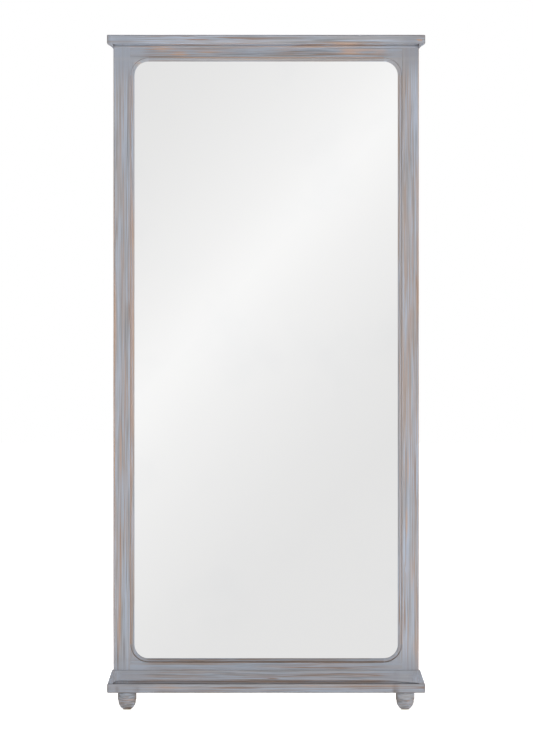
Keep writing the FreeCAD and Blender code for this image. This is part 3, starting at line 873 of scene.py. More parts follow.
class GeometryTrees:
    """Geometry trees of the mirror, each built once."""

    def __init__(self) -> None:
        """Builds the three trees."""
        self.run = self.moulding_run()
        self.worn = self.hand_worn()
        self.turned = self.turned_on_places()

    @staticmethod
    def start(name: str, inputs: dict[str, object]) -> Group:
        """Starts a tree that takes a finish too."""
        return Group(name, GEOMETRY, {**inputs, "Finish": "Material"}, {"Geometry": "Geometry"})

    def moulding_run(self) -> bpy.types.NodeTree:
        """Draws a section along a straight line, with a cap at both ends.

        Returns:
            The tree.
        """
        inputs = {"Section": "Geometry", "Start": "Vector", "End": "Vector", "Station Length": 0.008}
        bench = self.start("moulding_run", inputs)
        given = bench.given
        line = bench.add("GeometryNodeCurvePrimitiveLine", {"Start": given["Start"], "End": given["End"]})
        feeds = {"Curve": line, "Length": given["Station Length"]}
        stations = bench.add("GeometryNodeResampleCurve", feeds, mode="LENGTH")
        outline = bench.add("GeometryNodeMeshToCurve", {"Mesh": given["Section"]})
        feeds = {"Curve": stations, "Profile Curve": outline, "Fill Caps": True}
        return bench.end_geometry(bench.add("GeometryNodeCurveToMesh", feeds))

    def hand_worn(self) -> bpy.types.NodeTree:
        """Sinks arrises by uneven chips and the faces by a slight waviness, never outwards.

        Returns:
            The tree.
        """
        numbers = {"Chip Depth": 0.9 * MM, "Waviness": 0.18 * MM, "Seed": 0.0}
        bench = self.start("hand_worn", {"Piece": "Geometry", "Grain Stretch": "Vector", **numbers})
        given = bench.given
        place = bench.add("GeometryNodeInputPosition")
        along = bench.add("ShaderNodeVectorMath", {0: place, 1: given["Grain Stretch"]}, operation="MULTIPLY")
        arris = bench.add("GeometryNodeInputNamedAttribute", {"Name": "arris"}, data_type="FLOAT")
        chips = bench.ramp(bench.noise(along, 0.08, 3.0, 0.6, given["Seed"]), 0.42, 0.8)
        wave = bench.noise(along, 0.03, 1.0, 0.5, 5.0) * given["Waviness"]
        inward = (chips * arris * given["Chip Depth"] + wave) * -1.0
        feeds = {0: bench.add("GeometryNodeInputNormal"), "Scale": inward}
        offset = bench.add("ShaderNodeVectorMath", feeds, operation="SCALE")
        feeds = {"Geometry": given["Piece"], "Offset": offset}
        return bench.end_geometry(bench.add("GeometryNodeSetPosition", feeds))

    def turned_on_places(self) -> bpy.types.NodeTree:
        """Turns an outline about its axis, cuts a driver cross in its top, and sets one at each place.

        Returns:
            The tree.
        """
        turning = {"Outline": "Geometry", "Places": "Object", "Path Radius": 0.05, "Facets": 40}
        cross = {"Cross Span": 0.0, "Cross Width": 0.9 * MM, "Cross Depth": 1 * MM}
        choices = {"Top": 0.0, "Has Cross": False, "Spin Seed": 1}
        bench = self.start("turned_on_places", {**turning, **cross, **choices})
        given = bench.given
        feeds = {"Resolution": given["Facets"], "Radius": given["Path Radius"]}
        circle = bench.add("GeometryNodeCurvePrimitiveCircle", feeds)
        outline = bench.add("GeometryNodeMeshToCurve", {"Mesh": given["Outline"]})
        shell = bench.add("GeometryNodeCurveToMesh", {"Curve": circle, "Profile Curve": outline})
        closed = bench.add("GeometryNodeMergeByDistance", {"Geometry": shell, "Distance": 0.02 * MM})
        span, width = given["Cross Span"], given["Cross Width"]
        bars = []
        for long, wide in ((span, width), (width, span)):
            size = bench.add("ShaderNodeCombineXYZ", {0: long, 1: wide, 2: given["Cross Depth"] * 2.0})
            bars.append(bench.add("GeometryNodeMeshCube", {"Size": size}))
        blade = bench.add("GeometryNodeMeshBoolean", {"Mesh 2": bars}, operation="UNION", solver="EXACT")
        lift = bench.add("ShaderNodeCombineXYZ", {2: given["Top"]})
        raised = bench.add("GeometryNodeTransform", {"Geometry": blade, "Translation": lift})
        feeds = {"Mesh 1": closed, "Mesh 2": raised}
        cut = bench.add("GeometryNodeMeshBoolean", feeds, operation="DIFFERENCE", solver="EXACT")
        feeds = {"Switch": given["Has Cross"], "False": closed, "True": cut}
        one = bench.add("GeometryNodeSwitch", feeds, input_type="GEOMETRY")
        places = bench.add("GeometryNodeObjectInfo", {"Object": given["Places"]})["Geometry"]
        aim = bench.add("GeometryNodeInputNamedAttribute", {"Name": "aim"}, data_type="FLOAT_VECTOR")
        upright = bench.add("FunctionNodeAlignRotationToVector", {"Vector": aim}, axis="Z")
        feeds = {2: 0.0, 3: math.tau, "Seed": given["Spin Seed"]}
        turn = bench.add("FunctionNodeRandomValue", feeds, data_type="FLOAT")[1]
        spin = bench.add("FunctionNodeAxisAngleToRotation", {"Axis": UP, "Angle": turn})
        feeds = {"Rotation": upright, "Rotate By": spin}
        facing = bench.add("FunctionNodeRotateRotation", feeds, rotation_space="LOCAL")
        feeds = {"Points": places, "Instance": one, "Rotation": facing}
        return bench.end_geometry(bench.add("GeometryNodeInstanceOnPoints", feeds))


@dataclass(frozen=True)
class Corner:
    """Corner of a section: its place, how far it is eased and how it wears."""

    a: float
    b: float
    ease: float = 0.0
    edge: Edge = Edge.PLAIN

    @property
    def place(self) -> Vector:
        """Its place as a vector."""
        return Vector((self.a, self.b))


@dataclass(frozen=True)
class Section:
    """Outline of a moulding, given by its corners, or half outline of a turned piece."""

    corners: tuple[Corner, ...]
    closed: bool = True
    spacing: float = 6 * MM
    arris_reach: float = 1.9 * MM
    hollow_reach: float = 1.3 * MM
    near: float = 1 * MM
    widest_ease: float = 0.45
    ease_points: int = 5

    def outline(self) -> list[Vector]:
        """Points round the outline, with its corners eased and long sides stepped.

        Returns:
            The points.
        """
        count = len(self.corners)
        eased: list[list[Vector]] = []
        for index, corner in enumerate(self.corners):
            here = corner.place
            if corner.ease <= 0 or (not self.closed and index in (0, count - 1)):
                eased.append([here])
                continue
            sides = (self.corners[other].place - here for other in (index - 1, (index + 1) % count))
            start, end = (
                here + side.normalized() * min(corner.ease, side.length * self.widest_ease) for side in sides
            )
            eased.append(bend(start, here, end, spread(0.0, 1.0, self.ease_points)))
        points: list[Vector] = []
        for index, group in enumerate(eased):
            points += group
            if index < count - 1 or self.closed:
                points += self.steps(group[-1], eased[(index + 1) % count][0])
        return points

    def steps(self, start: Vector, end: Vector) -> list[Vector]:
        """Points between two ends of a side, closer near them.

        Args:
            start: first end.
            end: last end.

        Returns:
            The points between them.
        """
        length = (end - start).length
        if length <= 2.4 * self.near:
            return []
        inner = max(1, math.ceil((length - 2 * self.near) / self.spacing))
        return [start.lerp(end, place / length) for place in spread(self.near, length - self.near, inner + 1)]

    def marks(self, points: Sequence[Vector]) -> dict[str, list[float]]:
        """How much each point is on an arris and in a hollow, from 0 to 1.

        Args:
            points: points of the outline.

        Returns:
            Numbers for all the points, by mark.
        """
        found: dict[str, list[float]] = {}
        kinds = ("arris", Edge.WORN, self.arris_reach), ("hollow", Edge.HOLLOW, self.hollow_reach)
        for name, edge, far in kinds:
            middles = [corner.place for corner in self.corners if corner.edge is edge]
            found[name] = [
                max((math.exp(-(point - one).length / far) for one in middles), default=0.0)
                for point in points
            ]
        return found

    def as_mesh(self, name: str, turn: Point, shift: float = 0.0) -> bpy.types.Mesh:
        """Mesh of edges along the outline.

        Args:
            name: the mesh's name.
            turn: signs that turn the section's two axes.
            shift: how far it is moved along the first.

        Returns:
            The mesh.
        """
        points = self.outline()
        count = len(points)
        edges = [(index, (index + 1) % count) for index in range(count if self.closed else count - 1)]
        flat = [Vector((turn[0] * point.x + shift, turn[1] * point.y, 0)) for point in points]
        return mesh_of(name, flat, edges, [], self.marks(points))


def turned_outline(*rows: tuple[float, ...], spacing: float = 6 * MM) -> Section:
    """Half outline of a turned piece, from rows of radius, height and ease."""
    return Section(tuple(Corner(*row) for row in rows), False, spacing)


@dataclass(frozen=True)
class Spot:
    """Place on the front where the finish differs by wear, dirt, painted shade or painted light, by its
    middle and half widths in millimetres.
    """

    x: float
    z: float
    half_x: float
    half_z: float
    strength: float

    def at(self, point: Vector) -> float:
        """How much a point lies in the spot.

        Args:
            point: the point, in metres.

        Returns:
            A number from 0 to the spot's strength.
        """
        across = (point.x / MM - self.x) / self.half_x
        rise = (point.z / MM - self.z) / self.half_z
        return self.strength * math.exp(-(across**2 + rise**2))


# Spots by the mark that they leave: X, Z and half widths in millimetres, and strength.
SPOTS = {
    "rubbed": (
        (-285, 1788, 35, 8, 1.0), (-235, 1779, 30, 7, 1.1), (-160, 1782, 50, 6, 0.7),
        (225, 1786, 35, 9, 1.0), (50, 1788, 60, 5, 0.6), (310, 1785, 30, 8, 0.7),
        (-275, 65.5, 60, 4, 1.1), (115, 65.5, 30, 3, 0.9), (345, 66, 40, 4, 1.0),
        (0, 76.5, 330, 4.2, 0.9), (415.3, 1814.2, 6.5, 4, 3.0), (260, 1789, 50, 5, 0.9),
        (0, 1803, 600, 2.5, 0.6), (-347, 1750, 12, 12, 0.95), (-362, 1000, 5, 650, 1.2),
        (300, 65.5, 30, 3, 0.5), (215, 1805.5, 50, 3, 1.0), (-397, 250, 2, 90, 1.1),
        (-380, 240, 2, 50, 0.6), (-409, 1020, 4, 420, 0.6), (-366, 620, 3, 120, 0.9),
        (-362, 900, 3, 200, 0.7), (-392, 720, 3, 100, 0.8), (392, 1330, 4, 60, 1.1),
        (383, 1370, 4, 50, 0.8), (384, 660, 3, 60, 1.0), (381, 510, 3, 50, 1.2),
        (372, 900, 3, 250, 0.7), (395, 350, 3, 70, 0.9), (400, 170, 3, 40, 0.9), (391, 400, 2, 30, 1.0),
        (387, 1000, 6, 500, 0.35),
    ),
    "calm": (
        (-388, 1775, 45, 60, 1.0), (-352, 1775, 30, 35, 1.0), (390, 1780, 40, 50, 1.0),
        (355, 1775, 30, 30, 0.9), (-385, 100, 45, 50, 0.9), (-352, 110, 34, 35, 1.0),
        (375, 105, 55, 45, 1.0),
    ),
    # Painted light: lighter grey on the top lip and corners, along the stiles, on the top edges of the base
    # and plinth, and on the feet.
    "pale": (
        (0, 1763.5, 450, 4.5, 1.0), (-346, 1752, 12, 12, 0.9), (355, 1752, 20, 20, 0.6),
        (366, 950, 6, 800, 0.8), (-360, 950, 3.5, 800, 0.15), (-404, 950, 9, 850, 0.3),
        (0, 106.2, 600, 2, 0.6), (0, 68.5, 600, 2.2, 0.55), (377, 37, 24, 9, 0.8),
        (-377, 37, 24, 9, 0.25), (378, 93, 12, 6, 0.5),
    ),
    # Dirt and painted shade: darker at the ends of the cornice and plinth, round the feet and along the
    # bottom lip.
    "grimy": (
        (-431.2, 1817, 4, 20, 0.9), (431.2, 1817, 3, 20, 0.7), (-431.2, 60, 3, 20, 0.8),
        (431.2, 60, 3, 20, 0.8), (-375, 67.5, 35, 4, 0.3), (-375, 53, 35, 4.5, 0.22),
        (390, 1780, 50, 40, 0.22), (377, 12, 22, 10, 0.2), (-377, 14, 22, 10, 0.26),
        (0, 134.5, 340, 4, 0.34), (385, 115, 50, 30, 0.14), (404, 98, 8, 8, 0.28),
        (352, 100, 10, 6, 0.25), (-402, 140, 2.2, 45, 0.8), (-384, 165, 2, 35, 0.5),
        (-403.5, 30, 4.5, 30, 1.0), (-350.5, 25, 6, 30, 1.3), (-372, 4, 18, 5, 1.3),
        (350.5, 35, 5.5, 30, 1.3), (403.5, 22, 5, 10, 1.1), (375, 2, 20, 4, 0.8),
    ),
}


def mark_spots(mesh: bpy.types.Mesh) -> None:
    """Gives each point of a mesh how far it lies in each kind of spot.

    Args:
        mesh: the mesh.
    """
    for name, rows in SPOTS.items():
        spots = [Spot(*row) for row in rows]
        add_mark(mesh, name, [max(spot.at(vertex.co) for spot in spots) for vertex in mesh.vertices])


def ring_lines(low: float, high: float, ease: float, step: float) -> list[float]:
    """Places of the mesh lines between two faces of an eased block.

    Args:
        low: place of the first face.
        high: place of the last face.
        ease: radius of the block's arrises.
        step: widest gap between two lines.

    Returns:
        The places.
    """
    # On the face, partway round the arris, at its end and just past it.
    near = [0.0, ease * 0.586, ease, ease + 1.2 * MM]
    near = [place for place in near if place < (high - low) / 2 - 0.1 * MM]
    first, last = low + near[-1], high - near[-1]
    middle = spread(first, last, max(1, math.ceil((last - first) / step)) + 1)
    return [low + place for place in near[:-1]] + middle + [high - place for place in reversed(near[:-1])]


def eased_block(name: str, low: Vector, high: Vector, ease: float, step: float = 8 * MM) -> bpy.types.Object:
    """Block with round arrises and a fine mesh.

    Args:
        name: the piece's name.
        low: lowest corner.
        high: highest corner.
        ease: radius of its arrises.
        step: longest side of a face of the mesh.

    Returns:
        The piece, which carries its arrises.
    """
    lines = [ring_lines(low[axis], high[axis], ease, step) for axis in range(3)]
    last = [len(line) - 1 for line in lines]
    index: dict[tuple[int, ...], int] = {}
    points: list[Vector] = []
    arris: list[float] = []
    for key in product(*(range(count + 1) for count in last)):
        if not any(key[axis] in (0, last[axis]) for axis in range(3)):
            continue
        flat = Vector([lines[axis][key[axis]] for axis in range(3)])
        inner = Vector([min(max(flat[axis], low[axis] + ease), high[axis] - ease) for axis in range(3)])
        off = flat - inner
        # The middle one of the gaps to the faces says how near the point is to an arris.
        gaps = sorted(min(flat[axis] - low[axis], high[axis] - flat[axis]) for axis in range(3))
        index[key] = len(points)
        points.append(inner + off.normalized() * ease if off.length > 0 else flat)
        arris.append(math.exp(-max(0.0, gaps[1] - ease * 0.3) / (2 * MM)))
    faces = []
    for axis in range(3):
        u, v = (axis + 1) % 3, (axis + 2) % 3
        for side, i, j in product((0, last[axis]), range(last[u]), range(last[v])):
            loop = []
            for du, dv in ((0, 0), (1, 0), (1, 1), (0, 1)):
                key = [side] * 3
                key[u], key[v] = i + du, j + dv
                loop.append(index[tuple(key)])
            faces.append(tuple(loop) if side else tuple(reversed(loop)))
    return linked(name, mesh_of(name, points, [], faces, {"arris": arris, "hollow": [0.0] * len(points)}))


def ringed(name: str, rings: Sequence[Sequence[Vector]], marks: dict[str, list[float]]) -> bpy.types.Object:
    """Closed piece drawn through rings of points.

    Args:
        name: the piece's name.
        rings: rings with the same number of points.
        marks: numbers that each point carries, ring by ring.

    Returns:
        The piece.
    """
    size = len(rings[0])
    points = [point for ring in rings for point in ring]
    faces = [tuple(range(size)), tuple(len(points) - 1 - index for index in range(size))]
    for row, index in product(range(0, len(points) - size, size), range(size)):
        after = (index + 1) % size
        faces.append((row + index, row + after, row + size + after, row + size + index))
    return linked(name, mesh_of(name, points, [], faces, marks))


def joined(name: str, pieces: Sequence[bpy.types.Object]) -> bpy.types.Object:
    """One piece of the shells of several, which are removed.

    Args:
        name: the new piece's name.
        pieces: the pieces.

    Returns:
        The new piece.
    """
    work = bmesh.new()
    for piece in pieces:
        work.from_mesh(piece.data)
    mesh = pieces[0].data.copy()
    work.to_mesh(mesh)
    work.free()
    mesh.name = name
    for piece in pieces:
        bpy.data.objects.remove(piece)
    return linked(name, mesh)


def bored(piece: bpy.types.Object, radius: float, depth: float, places: Iterable[Vector]) -> bpy.types.Object:
    """Cuts upright round holes in a piece.

    Args:
        piece: the piece.
        radius: radius of the holes.
        depth: half of their length, from the place each way.
        places: middle of each hole's mouth.

    Returns:
        The piece.
    """
    work = bmesh.new()
    for place in places:
        sizes = {"segments": BORE_FACETS, "radius1": radius, "radius2": radius, "depth": depth * 2}
        made = bmesh.ops.create_cone(work, cap_ends=True, **sizes)
        bmesh.ops.translate(work, verts=made["verts"], vec=place)
    mesh = bpy.data.meshes.new("bores")
    work.to_mesh(mesh)
    work.free()
    cutter = linked("bores", mesh)
    modifier = piece.modifiers.new("bores", "BOOLEAN")
    modifier.operation, modifier.solver, modifier.object = "DIFFERENCE", "EXACT", cutter
    made_plain(piece)
    bpy.data.objects.remove(cutter)
    return piece


# Sub-assemblies


@dataclass(frozen=True)
class Levels:
    """Main places of the mirror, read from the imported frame."""

    sight_half: float
    joint_x: float
    frame_half: float
    front: float
    back: float
    lip_back: float
    bottom: float
    rebate_bottom: float
    sight_bottom: float
    sight_top: float
    rebate_top: float
    top: float

    @classmethod
    def read(cls) -> Levels:
        """Reads the boxes of the timbers and the glass.

        Returns:
            The places.
        """
        low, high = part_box("right_stile")
        strip_low, strip_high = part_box("right_retaining_strip")
        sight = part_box("bottom_rail")[1].z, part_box("top_rail")[0].z
        depths = low.y, high.y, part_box("mirror_pane")[0].y
        return cls(low.x, strip_high.x, high.x, *depths, low.z, strip_low.z, *sight, strip_high.z, high.z)


@dataclass
class Assembly:
    """Sub-assembly that makes pieces, dresses them and hands them to the frame."""

    levels: Levels
    trees: GeometryTrees
    finishes: Finishes
    body: str = "frame"
    made: list[bpy.types.Object] = field(default_factory=list)
    path_radius: float = 0.05
    least_stretch: float = 0.12
    board_ease: float = 2.5 * MM
    screw_setback: float = 9 * MM

    def run(
        self, name: str, section: Section, axis: Axis, start: float, end: float, finish: str
    ) -> bpy.types.Object:
        """Moulding drawn along one axis.

        Args:
            name: the piece's name.
            section: its section, in the other two axes' order.
            axis: the axis that it runs along.
            start: where it starts on that axis.
            end: where it ends.
            finish: name of its material.

        Returns:
            The piece.
        """
        number, *turn = axis.value
        ends = Vector(), Vector()
        ends[0][number], ends[1][number] = start, end
        values = {"Start": ends[0], "End": ends[1], "Finish": self.finishes[finish]}
        return through_tree(linked(name, section.as_mesh(name, turn)), self.trees.run, values)

    def worn(
        self,
        piece: bpy.types.Object,
        finish: str,
        grain: Grain,
        seed: float,
        chip: float = 0.9 * MM,
        wave: float = 0.18 * MM,
    ) -> bpy.types.Object:
        """Wears a piece by hand and gives it its finish.

        Args:
            piece: the piece, which carries its arrises.
            finish: name of its material.
            grain: direction of its grain.
            seed: which chips it gets.
            chip: depth of the deepest chips.
            wave: how uneven its faces are.

        Returns:
            The piece.
        """
        least = 0.0 if grain is Grain.TURNED else self.least_stretch
        stretch = Vector([max(share, least) / MM for share in grain.value])
        face_outward(piece.data)
        values = {"Grain Stretch": stretch, "Chip Depth": chip, "Waviness": wave, "Seed": seed}
        through_tree(piece, self.trees.worn, {**values, "Finish": self.finishes[finish]})
        # Spots of wear, dirt, painted shade and painted light.
        mark_spots(piece.data)
        return piece

    def turned(
        self,
        name: str,
        section: Section,
        places: Sequence[tuple[Vector, Vector]],
        finish: str,
        cross: float = 0.0,
        facets: int = 40,
    ) -> bpy.types.Object:
        """Turned pieces, one at each place.

        Args:
            name: the piece's name.
            section: half outline, as radius and height, from the top's middle to the bottom's.
            places: where each one's origin lies and where its top points.
            finish: name of the material.
            cross: span of the driver cross in its top, or 0 for none.
            facets: faces round each one.

        Returns:
            The piece.
        """
        path = self.path_radius
        spots = bpy.data.meshes.new(name + "_places")
        spots.from_pydata([tuple(place) for place, _ in places], [], [])
        aims = [value for _, aim in places for value in aim]
        spots.attributes.new("aim", "FLOAT_VECTOR", "POINT").data.foreach_set("vector", aims)
        holder = linked(name + "_places", spots)
        piece = linked(name, section.as_mesh(name, (1, -1), -path))
        values = {"Places": holder, "Path Radius": path, "Facets": facets, "Finish": self.finishes[finish]}
        top = max(corner.b for corner in section.corners)
        driver = {"Cross Span": cross, "Has Cross": cross > 0, "Top": top}
        through_tree(piece, self.trees.turned, {**values, **driver})
        bpy.data.objects.remove(holder)
        return piece

    def hand_over(self, piece: bpy.types.Object, slot: str, *nodes: str) -> None:
        """Lets a finished piece ride on its body in place of CAD nodes.

        Args:
            piece: the piece.
            slot: the record's material slot; not used.
            *nodes: the CAD nodes that it stands for.
        """
        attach(piece, self.body)
        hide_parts(*nodes)
        self.made.append(piece)
        log.info("%s: %d faces, stands for %s", piece.name, len(piece.data.polygons), ", ".join(nodes))

    def paint(self, piece: bpy.types.Object, node: str, *how: object) -> None:
        """Wears a piece, paints it and hands it over in place of one node."""
        self.hand_over(self.worn(piece, *how), "painted_wood", node)

    def places_across(self, reach: float, level: float, count: int) -> list[Vector]:
        """Even places across the frame, a little behind its front."""
        depth = self.levels.front + self.screw_setback
        return [Vector((x, depth, level)) for x in spread(-reach, reach, count)]

    def board(self, name: str, node: str, how: tuple, holes: tuple[float, float, list[Vector]]) -> None:
        """Painted board with round arrises and upright holes.

        Args:
            name: the piece's name.
            node: the CAD node that it stands for.
            how: finish, seed, depth of the chips and waviness.
            holes: radius, depth and places of the holes.
        """
        finish, seed, *wear = how
        block = eased_block(name, *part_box(node), self.board_ease)
        piece = self.worn(block, finish, Grain.ACROSS, seed, *wear)
        bored(piece, *holes)
        soften(piece.data)
        self.hand_over(piece, "painted_wood", node)


@dataclass
class FrameJoinery(Assembly):
    """Stiles, rails and the corner blocks that round the opening."""

    bead_width: float = 8.4 * MM
    bead_set: float = 2.4 * MM
    bead_bow: float = 0.9 * MM
    lip_drop: float = 6.0 * MM
    groove_width: float = 2.5 * MM
    groove_depth: float = 3.0 * MM
    stile_ease: float = 2.5 * MM
    back_ease: float = 0.8 * MM
    corner_radius: float = 38 * MM
    corner_steps: int = 24
    # How far the waxing and painted shade spread from the groove, at the bottom of the frame and elsewhere.
    low_wax_shade_reach: float = 2.6 * MM
    high_wax_shade_reach: float = 1.3 * MM

    def lip(self, reach: float, up: int = 1) -> Section:
        """Section of the lip, from its groove over the bead to the back.

        Args:
            reach: how far out the lip goes.
            up: -1 at the bottom of the frame, where the waxing and painted shade in the groove reach further,
                or 1.

        Returns:
            The section, by the distance out from the sight edge and back from the face.
        """
        back = self.levels.lip_back - self.levels.front
        crest, foot = Vector((self.bead_width, self.bead_set)), Vector((0.0, self.lip_drop))
        curve = bowed(crest, foot, (-self.bead_bow / 2, -self.bead_bow), (0.15, 0.3, 0.45, 0.6, 0.75, 0.9))
        corners = (
            Corner(reach, 0.0),
            Corner(self.bead_width + self.groove_width, 0.0, 0.5 * MM, Edge.WORN),
            Corner(self.bead_width + self.groove_width / 2, self.groove_depth, 0.2 * MM, Edge.HOLLOW),
            Corner(*crest, 0.25 * MM),
            *(Corner(*point) for point in curve),
            Corner(*foot, 0.3 * MM),
            Corner(0.0, back),
            Corner(reach, back),
        )
        return Section(corners, hollow_reach=self.low_wax_shade_reach if up < 0 else self.high_wax_shade_reach)

    def timber(
        self, name: str, axis: Axis, how: tuple[Grain, float], *lengths: tuple[Section, float, float]
    ) -> None:
        """Straight timber of several lengths of moulding, painted.

        Args:
            name: the CAD node that it stands for.
            axis: the axis that it runs along.
            how: direction of its grain and which chips it gets.
            *lengths: section, start and end of each length.
        """
        parts = [self.run(name + "_part", section, axis, start, end, name) for section, start, end in lengths]
        self.paint(joined(name + "_timber", parts), name, name, *how)

    def stile(self, side: int) -> None:
        """Upright timber with its straight lip.

        Args:
            side: -1 on the left and 1 on the right.
        """
        at = self.levels
        inner, outer = side * at.joint_x, side * at.frame_half
        post = Section(
            (
                Corner(inner, at.front),
                Corner(outer, at.front, self.stile_ease, Edge.WORN),
                Corner(outer, at.back, 1.2 * MM, Edge.WORN),
                Corner(inner, at.back, 0.6 * MM),
            ),
            spacing=3 * MM,
        )
        lip = self.lip(at.joint_x - at.sight_half)
        placed = [
            Corner(side * (at.sight_half + one.a), at.front + one.b, one.ease, one.edge)
            for one in lip.corners
        ]
        ends = at.sight_bottom + self.corner_radius, at.sight_top - self.corner_radius
        lengths = (post, at.bottom, at.top), (replace(lip, corners=tuple(placed)), *ends)
        self.timber(f"{SIDES[side]}_stile", Axis.UPRIGHT, (Grain.UPRIGHT, 3.0 + side), *lengths)

    def rail(self, up: int) -> None:
        """Level timber with its straight lip.

        Args:
            up: -1 for the bottom rail and 1 for the top rail.
        """
        at, ease = self.levels, self.back_ease
        near, far, sight = at.rebate_bottom, at.bottom, at.sight_bottom
        if up > 0:
            near, far, sight = at.rebate_top, at.top, at.sight_top
        front_corners = Corner(at.front, near), Corner(at.front, far)
        beam = Section((*front_corners, Corner(at.back, far, ease), Corner(at.back, near, ease)))
        lip = self.lip(abs(near - sight), up)
        placed = [Corner(at.front + one.b, sight + up * one.a, one.ease, one.edge) for one in lip.corners]
        reach = at.sight_half - self.corner_radius
        lengths = (beam, -at.joint_x, at.joint_x), (replace(lip, corners=tuple(placed)), -reach, reach)
        self.timber(f"{ENDS[up]}_rail", Axis.ACROSS, (Grain.ACROSS, 7.0 + up), *lengths)

    def corner_block(self, across: int, up: int) -> None:
        """Block that carries the lip round a corner of the opening.

        Args:
            across: -1 on the left and 1 on the right.
            up: -1 at the bottom and 1 at the top.
        """
        at, radius = self.levels, self.corner_radius
        name = f"{ENDS[up]}_{SIDES[across]}_corner_block"
        reach = at.joint_x - at.sight_half
        section = self.lip(reach, up)
        outline = section.outline()
        centre_x = across * (at.sight_half - radius)
        centre_z = at.sight_top - radius if up > 0 else at.sight_bottom + radius
        flat = self.bead_width + self.groove_width
        rings, around = [], []
        for share in spread(0.0, 1.0, self.corner_steps + 1):
            around += [share] * len(outline)
            side, rise = math.cos(math.pi / 2 * share), math.sin(math.pi / 2 * share)
            edge = (radius + reach) / max(side, rise) - radius
            ring = []
            for point in outline:
                out = point.x if point.x <= flat else flat + (point.x - flat) * (edge - flat) / (reach - flat)
                far = radius + out
                place = centre_x + across * far * side, at.front + point.y, centre_z + up * far * rise
                ring.append(Vector(place))
            rings.append(ring)
        marks = {mark: values * len(rings) for mark, values in section.marks(outline).items()}
        # There is less grime where the block meets the stile.
        # The waxing and painted shade in the groove fade towards the stile.
        marks["hollow"] = [value * min(1.0, 0.3 + 1.4 * turn) for value, turn in zip(marks["hollow"], around)]
        piece = ringed(name + "_piece", rings, {**marks, "around": around})
        self.paint(piece, name, f"{ENDS[up]}_corner_block", Grain.UPRIGHT, 11.0)

    def build(self) -> None:
        """Makes the timbers and the blocks."""
        for side in (-1, 1):
            self.stile(side)
            self.rail(side)
            for up in (-1, 1):
                self.corner_block(side, up)


@dataclass
class Cornice(Assembly):
    """Board on top, the bead under its front and the coves under its ends."""

    plug_radius: float = 5 * MM
    plug_depth: float = 6 * MM
    plug_gap: float = 0.15 * MM
    plug_count: int = 5
    bead_quirk: float = 4.5 * MM
    bead_height: float = 6 * MM
    bead_projection: float = 3 * MM
    cove_bow: float = 1.2 * MM
    cove_quirk: float = 1 * MM

    def top(self) -> None:
        """Cornice board and, a hair below its top, the painted plugs of its screws."""
        at, radius, low = self.levels, self.plug_radius, 0.2 * MM - self.plug_depth
        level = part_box("cornice_board")[1].z
        places = self.places_across((at.joint_x + at.frame_half) / 2, level, self.plug_count)
        holes = radius + self.plug_gap, self.plug_depth, places
        self.board("cornice_top_board", "cornice_board", ("cornice", 15.0, 1.1 * MM), holes)
        face = -0.25 * MM
        outline = turned_outline((0, face), (radius, face, 0.4 * MM), (radius, low), (0, low))
        aimed = [(place, UP) for place in places]
        plugs = self.turned("screw_cover_plugs", outline, aimed, "cornice_moulding")
        self.hand_over(plugs, "painted_wood", "cornice_plugs")

    def front_bead(self) -> None:
        """Half round bead across the front."""
        at, half = self.levels, self.bead_height / 2
        high = at.top - self.bead_quirk
        low, middle = high - self.bead_height, high - half
        # The hollows above and below the bead get waxing and painted shade.
        corners = [Corner(at.front, high, 0.0, Edge.HOLLOW)]
        for turn in (0.12, 0.25, 0.38, 0.5, 0.62, 0.75, 0.88):
            depth, height = math.sin(math.pi * turn), math.cos(math.pi * turn)
            edge = Edge.WORN if abs(turn - 0.5) < 0.2 else Edge.PLAIN
            corners.append(Corner(at.front - self.bead_projection * depth, middle + half * height, 0.0, edge))
        corners.append(Corner(at.front, low, 0.0, Edge.HOLLOW))
        section = Section(tuple(corners), arris_reach=0.8 * MM)
        reach, finish = at.frame_half, "cornice_moulding"
        piece = self.run("cornice_bead_run", section, Axis.ACROSS, -reach, reach, finish)
        self.paint(piece, "cornice_front_bead", finish, Grain.ACROSS, 19.0, 0.5 * MM, 0.1 * MM)

    def cove(self, side: int) -> None:
        """Hollow moulding under one end.

        Args:
            side: -1 on the left and 1 on the right.
        """
        inner = self.levels.frame_half
        name = f"{SIDES[side]}_cornice_cove"
        low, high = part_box(name)
        outer = max(abs(low.x), abs(high.x))
        foot, brow = Vector((inner + self.cove_quirk, low.z)), Vector((outer, high.z - self.cove_quirk))
        curve = bowed(foot, brow, (-self.cove_bow, self.cove_bow), (0.2, 0.4, 0.6, 0.8))
        rows = [(inner, low.z), (*foot, 0.2 * MM, Edge.WORN), *(tuple(point) for point in curve)]
        rows += [(*brow, 0.3 * MM, Edge.WORN), (outer, high.z), (inner, high.z)]
        section = Section(tuple(Corner(side * across, *rest) for across, *rest in rows), arris_reach=1.2 * MM)
        piece = self.run(name + "_run", section, Axis.DEEP, low.y, high.y, "return")
        self.paint(piece, name, "return", Grain.DEEP, 22.0, 0.4 * MM, 0.1 * MM)

    def build(self) -> None:
        """Makes the board, its plugs and its mouldings."""
        self.top()
        self.front_bead()
        self.cove(-1)
        self.cove(1)


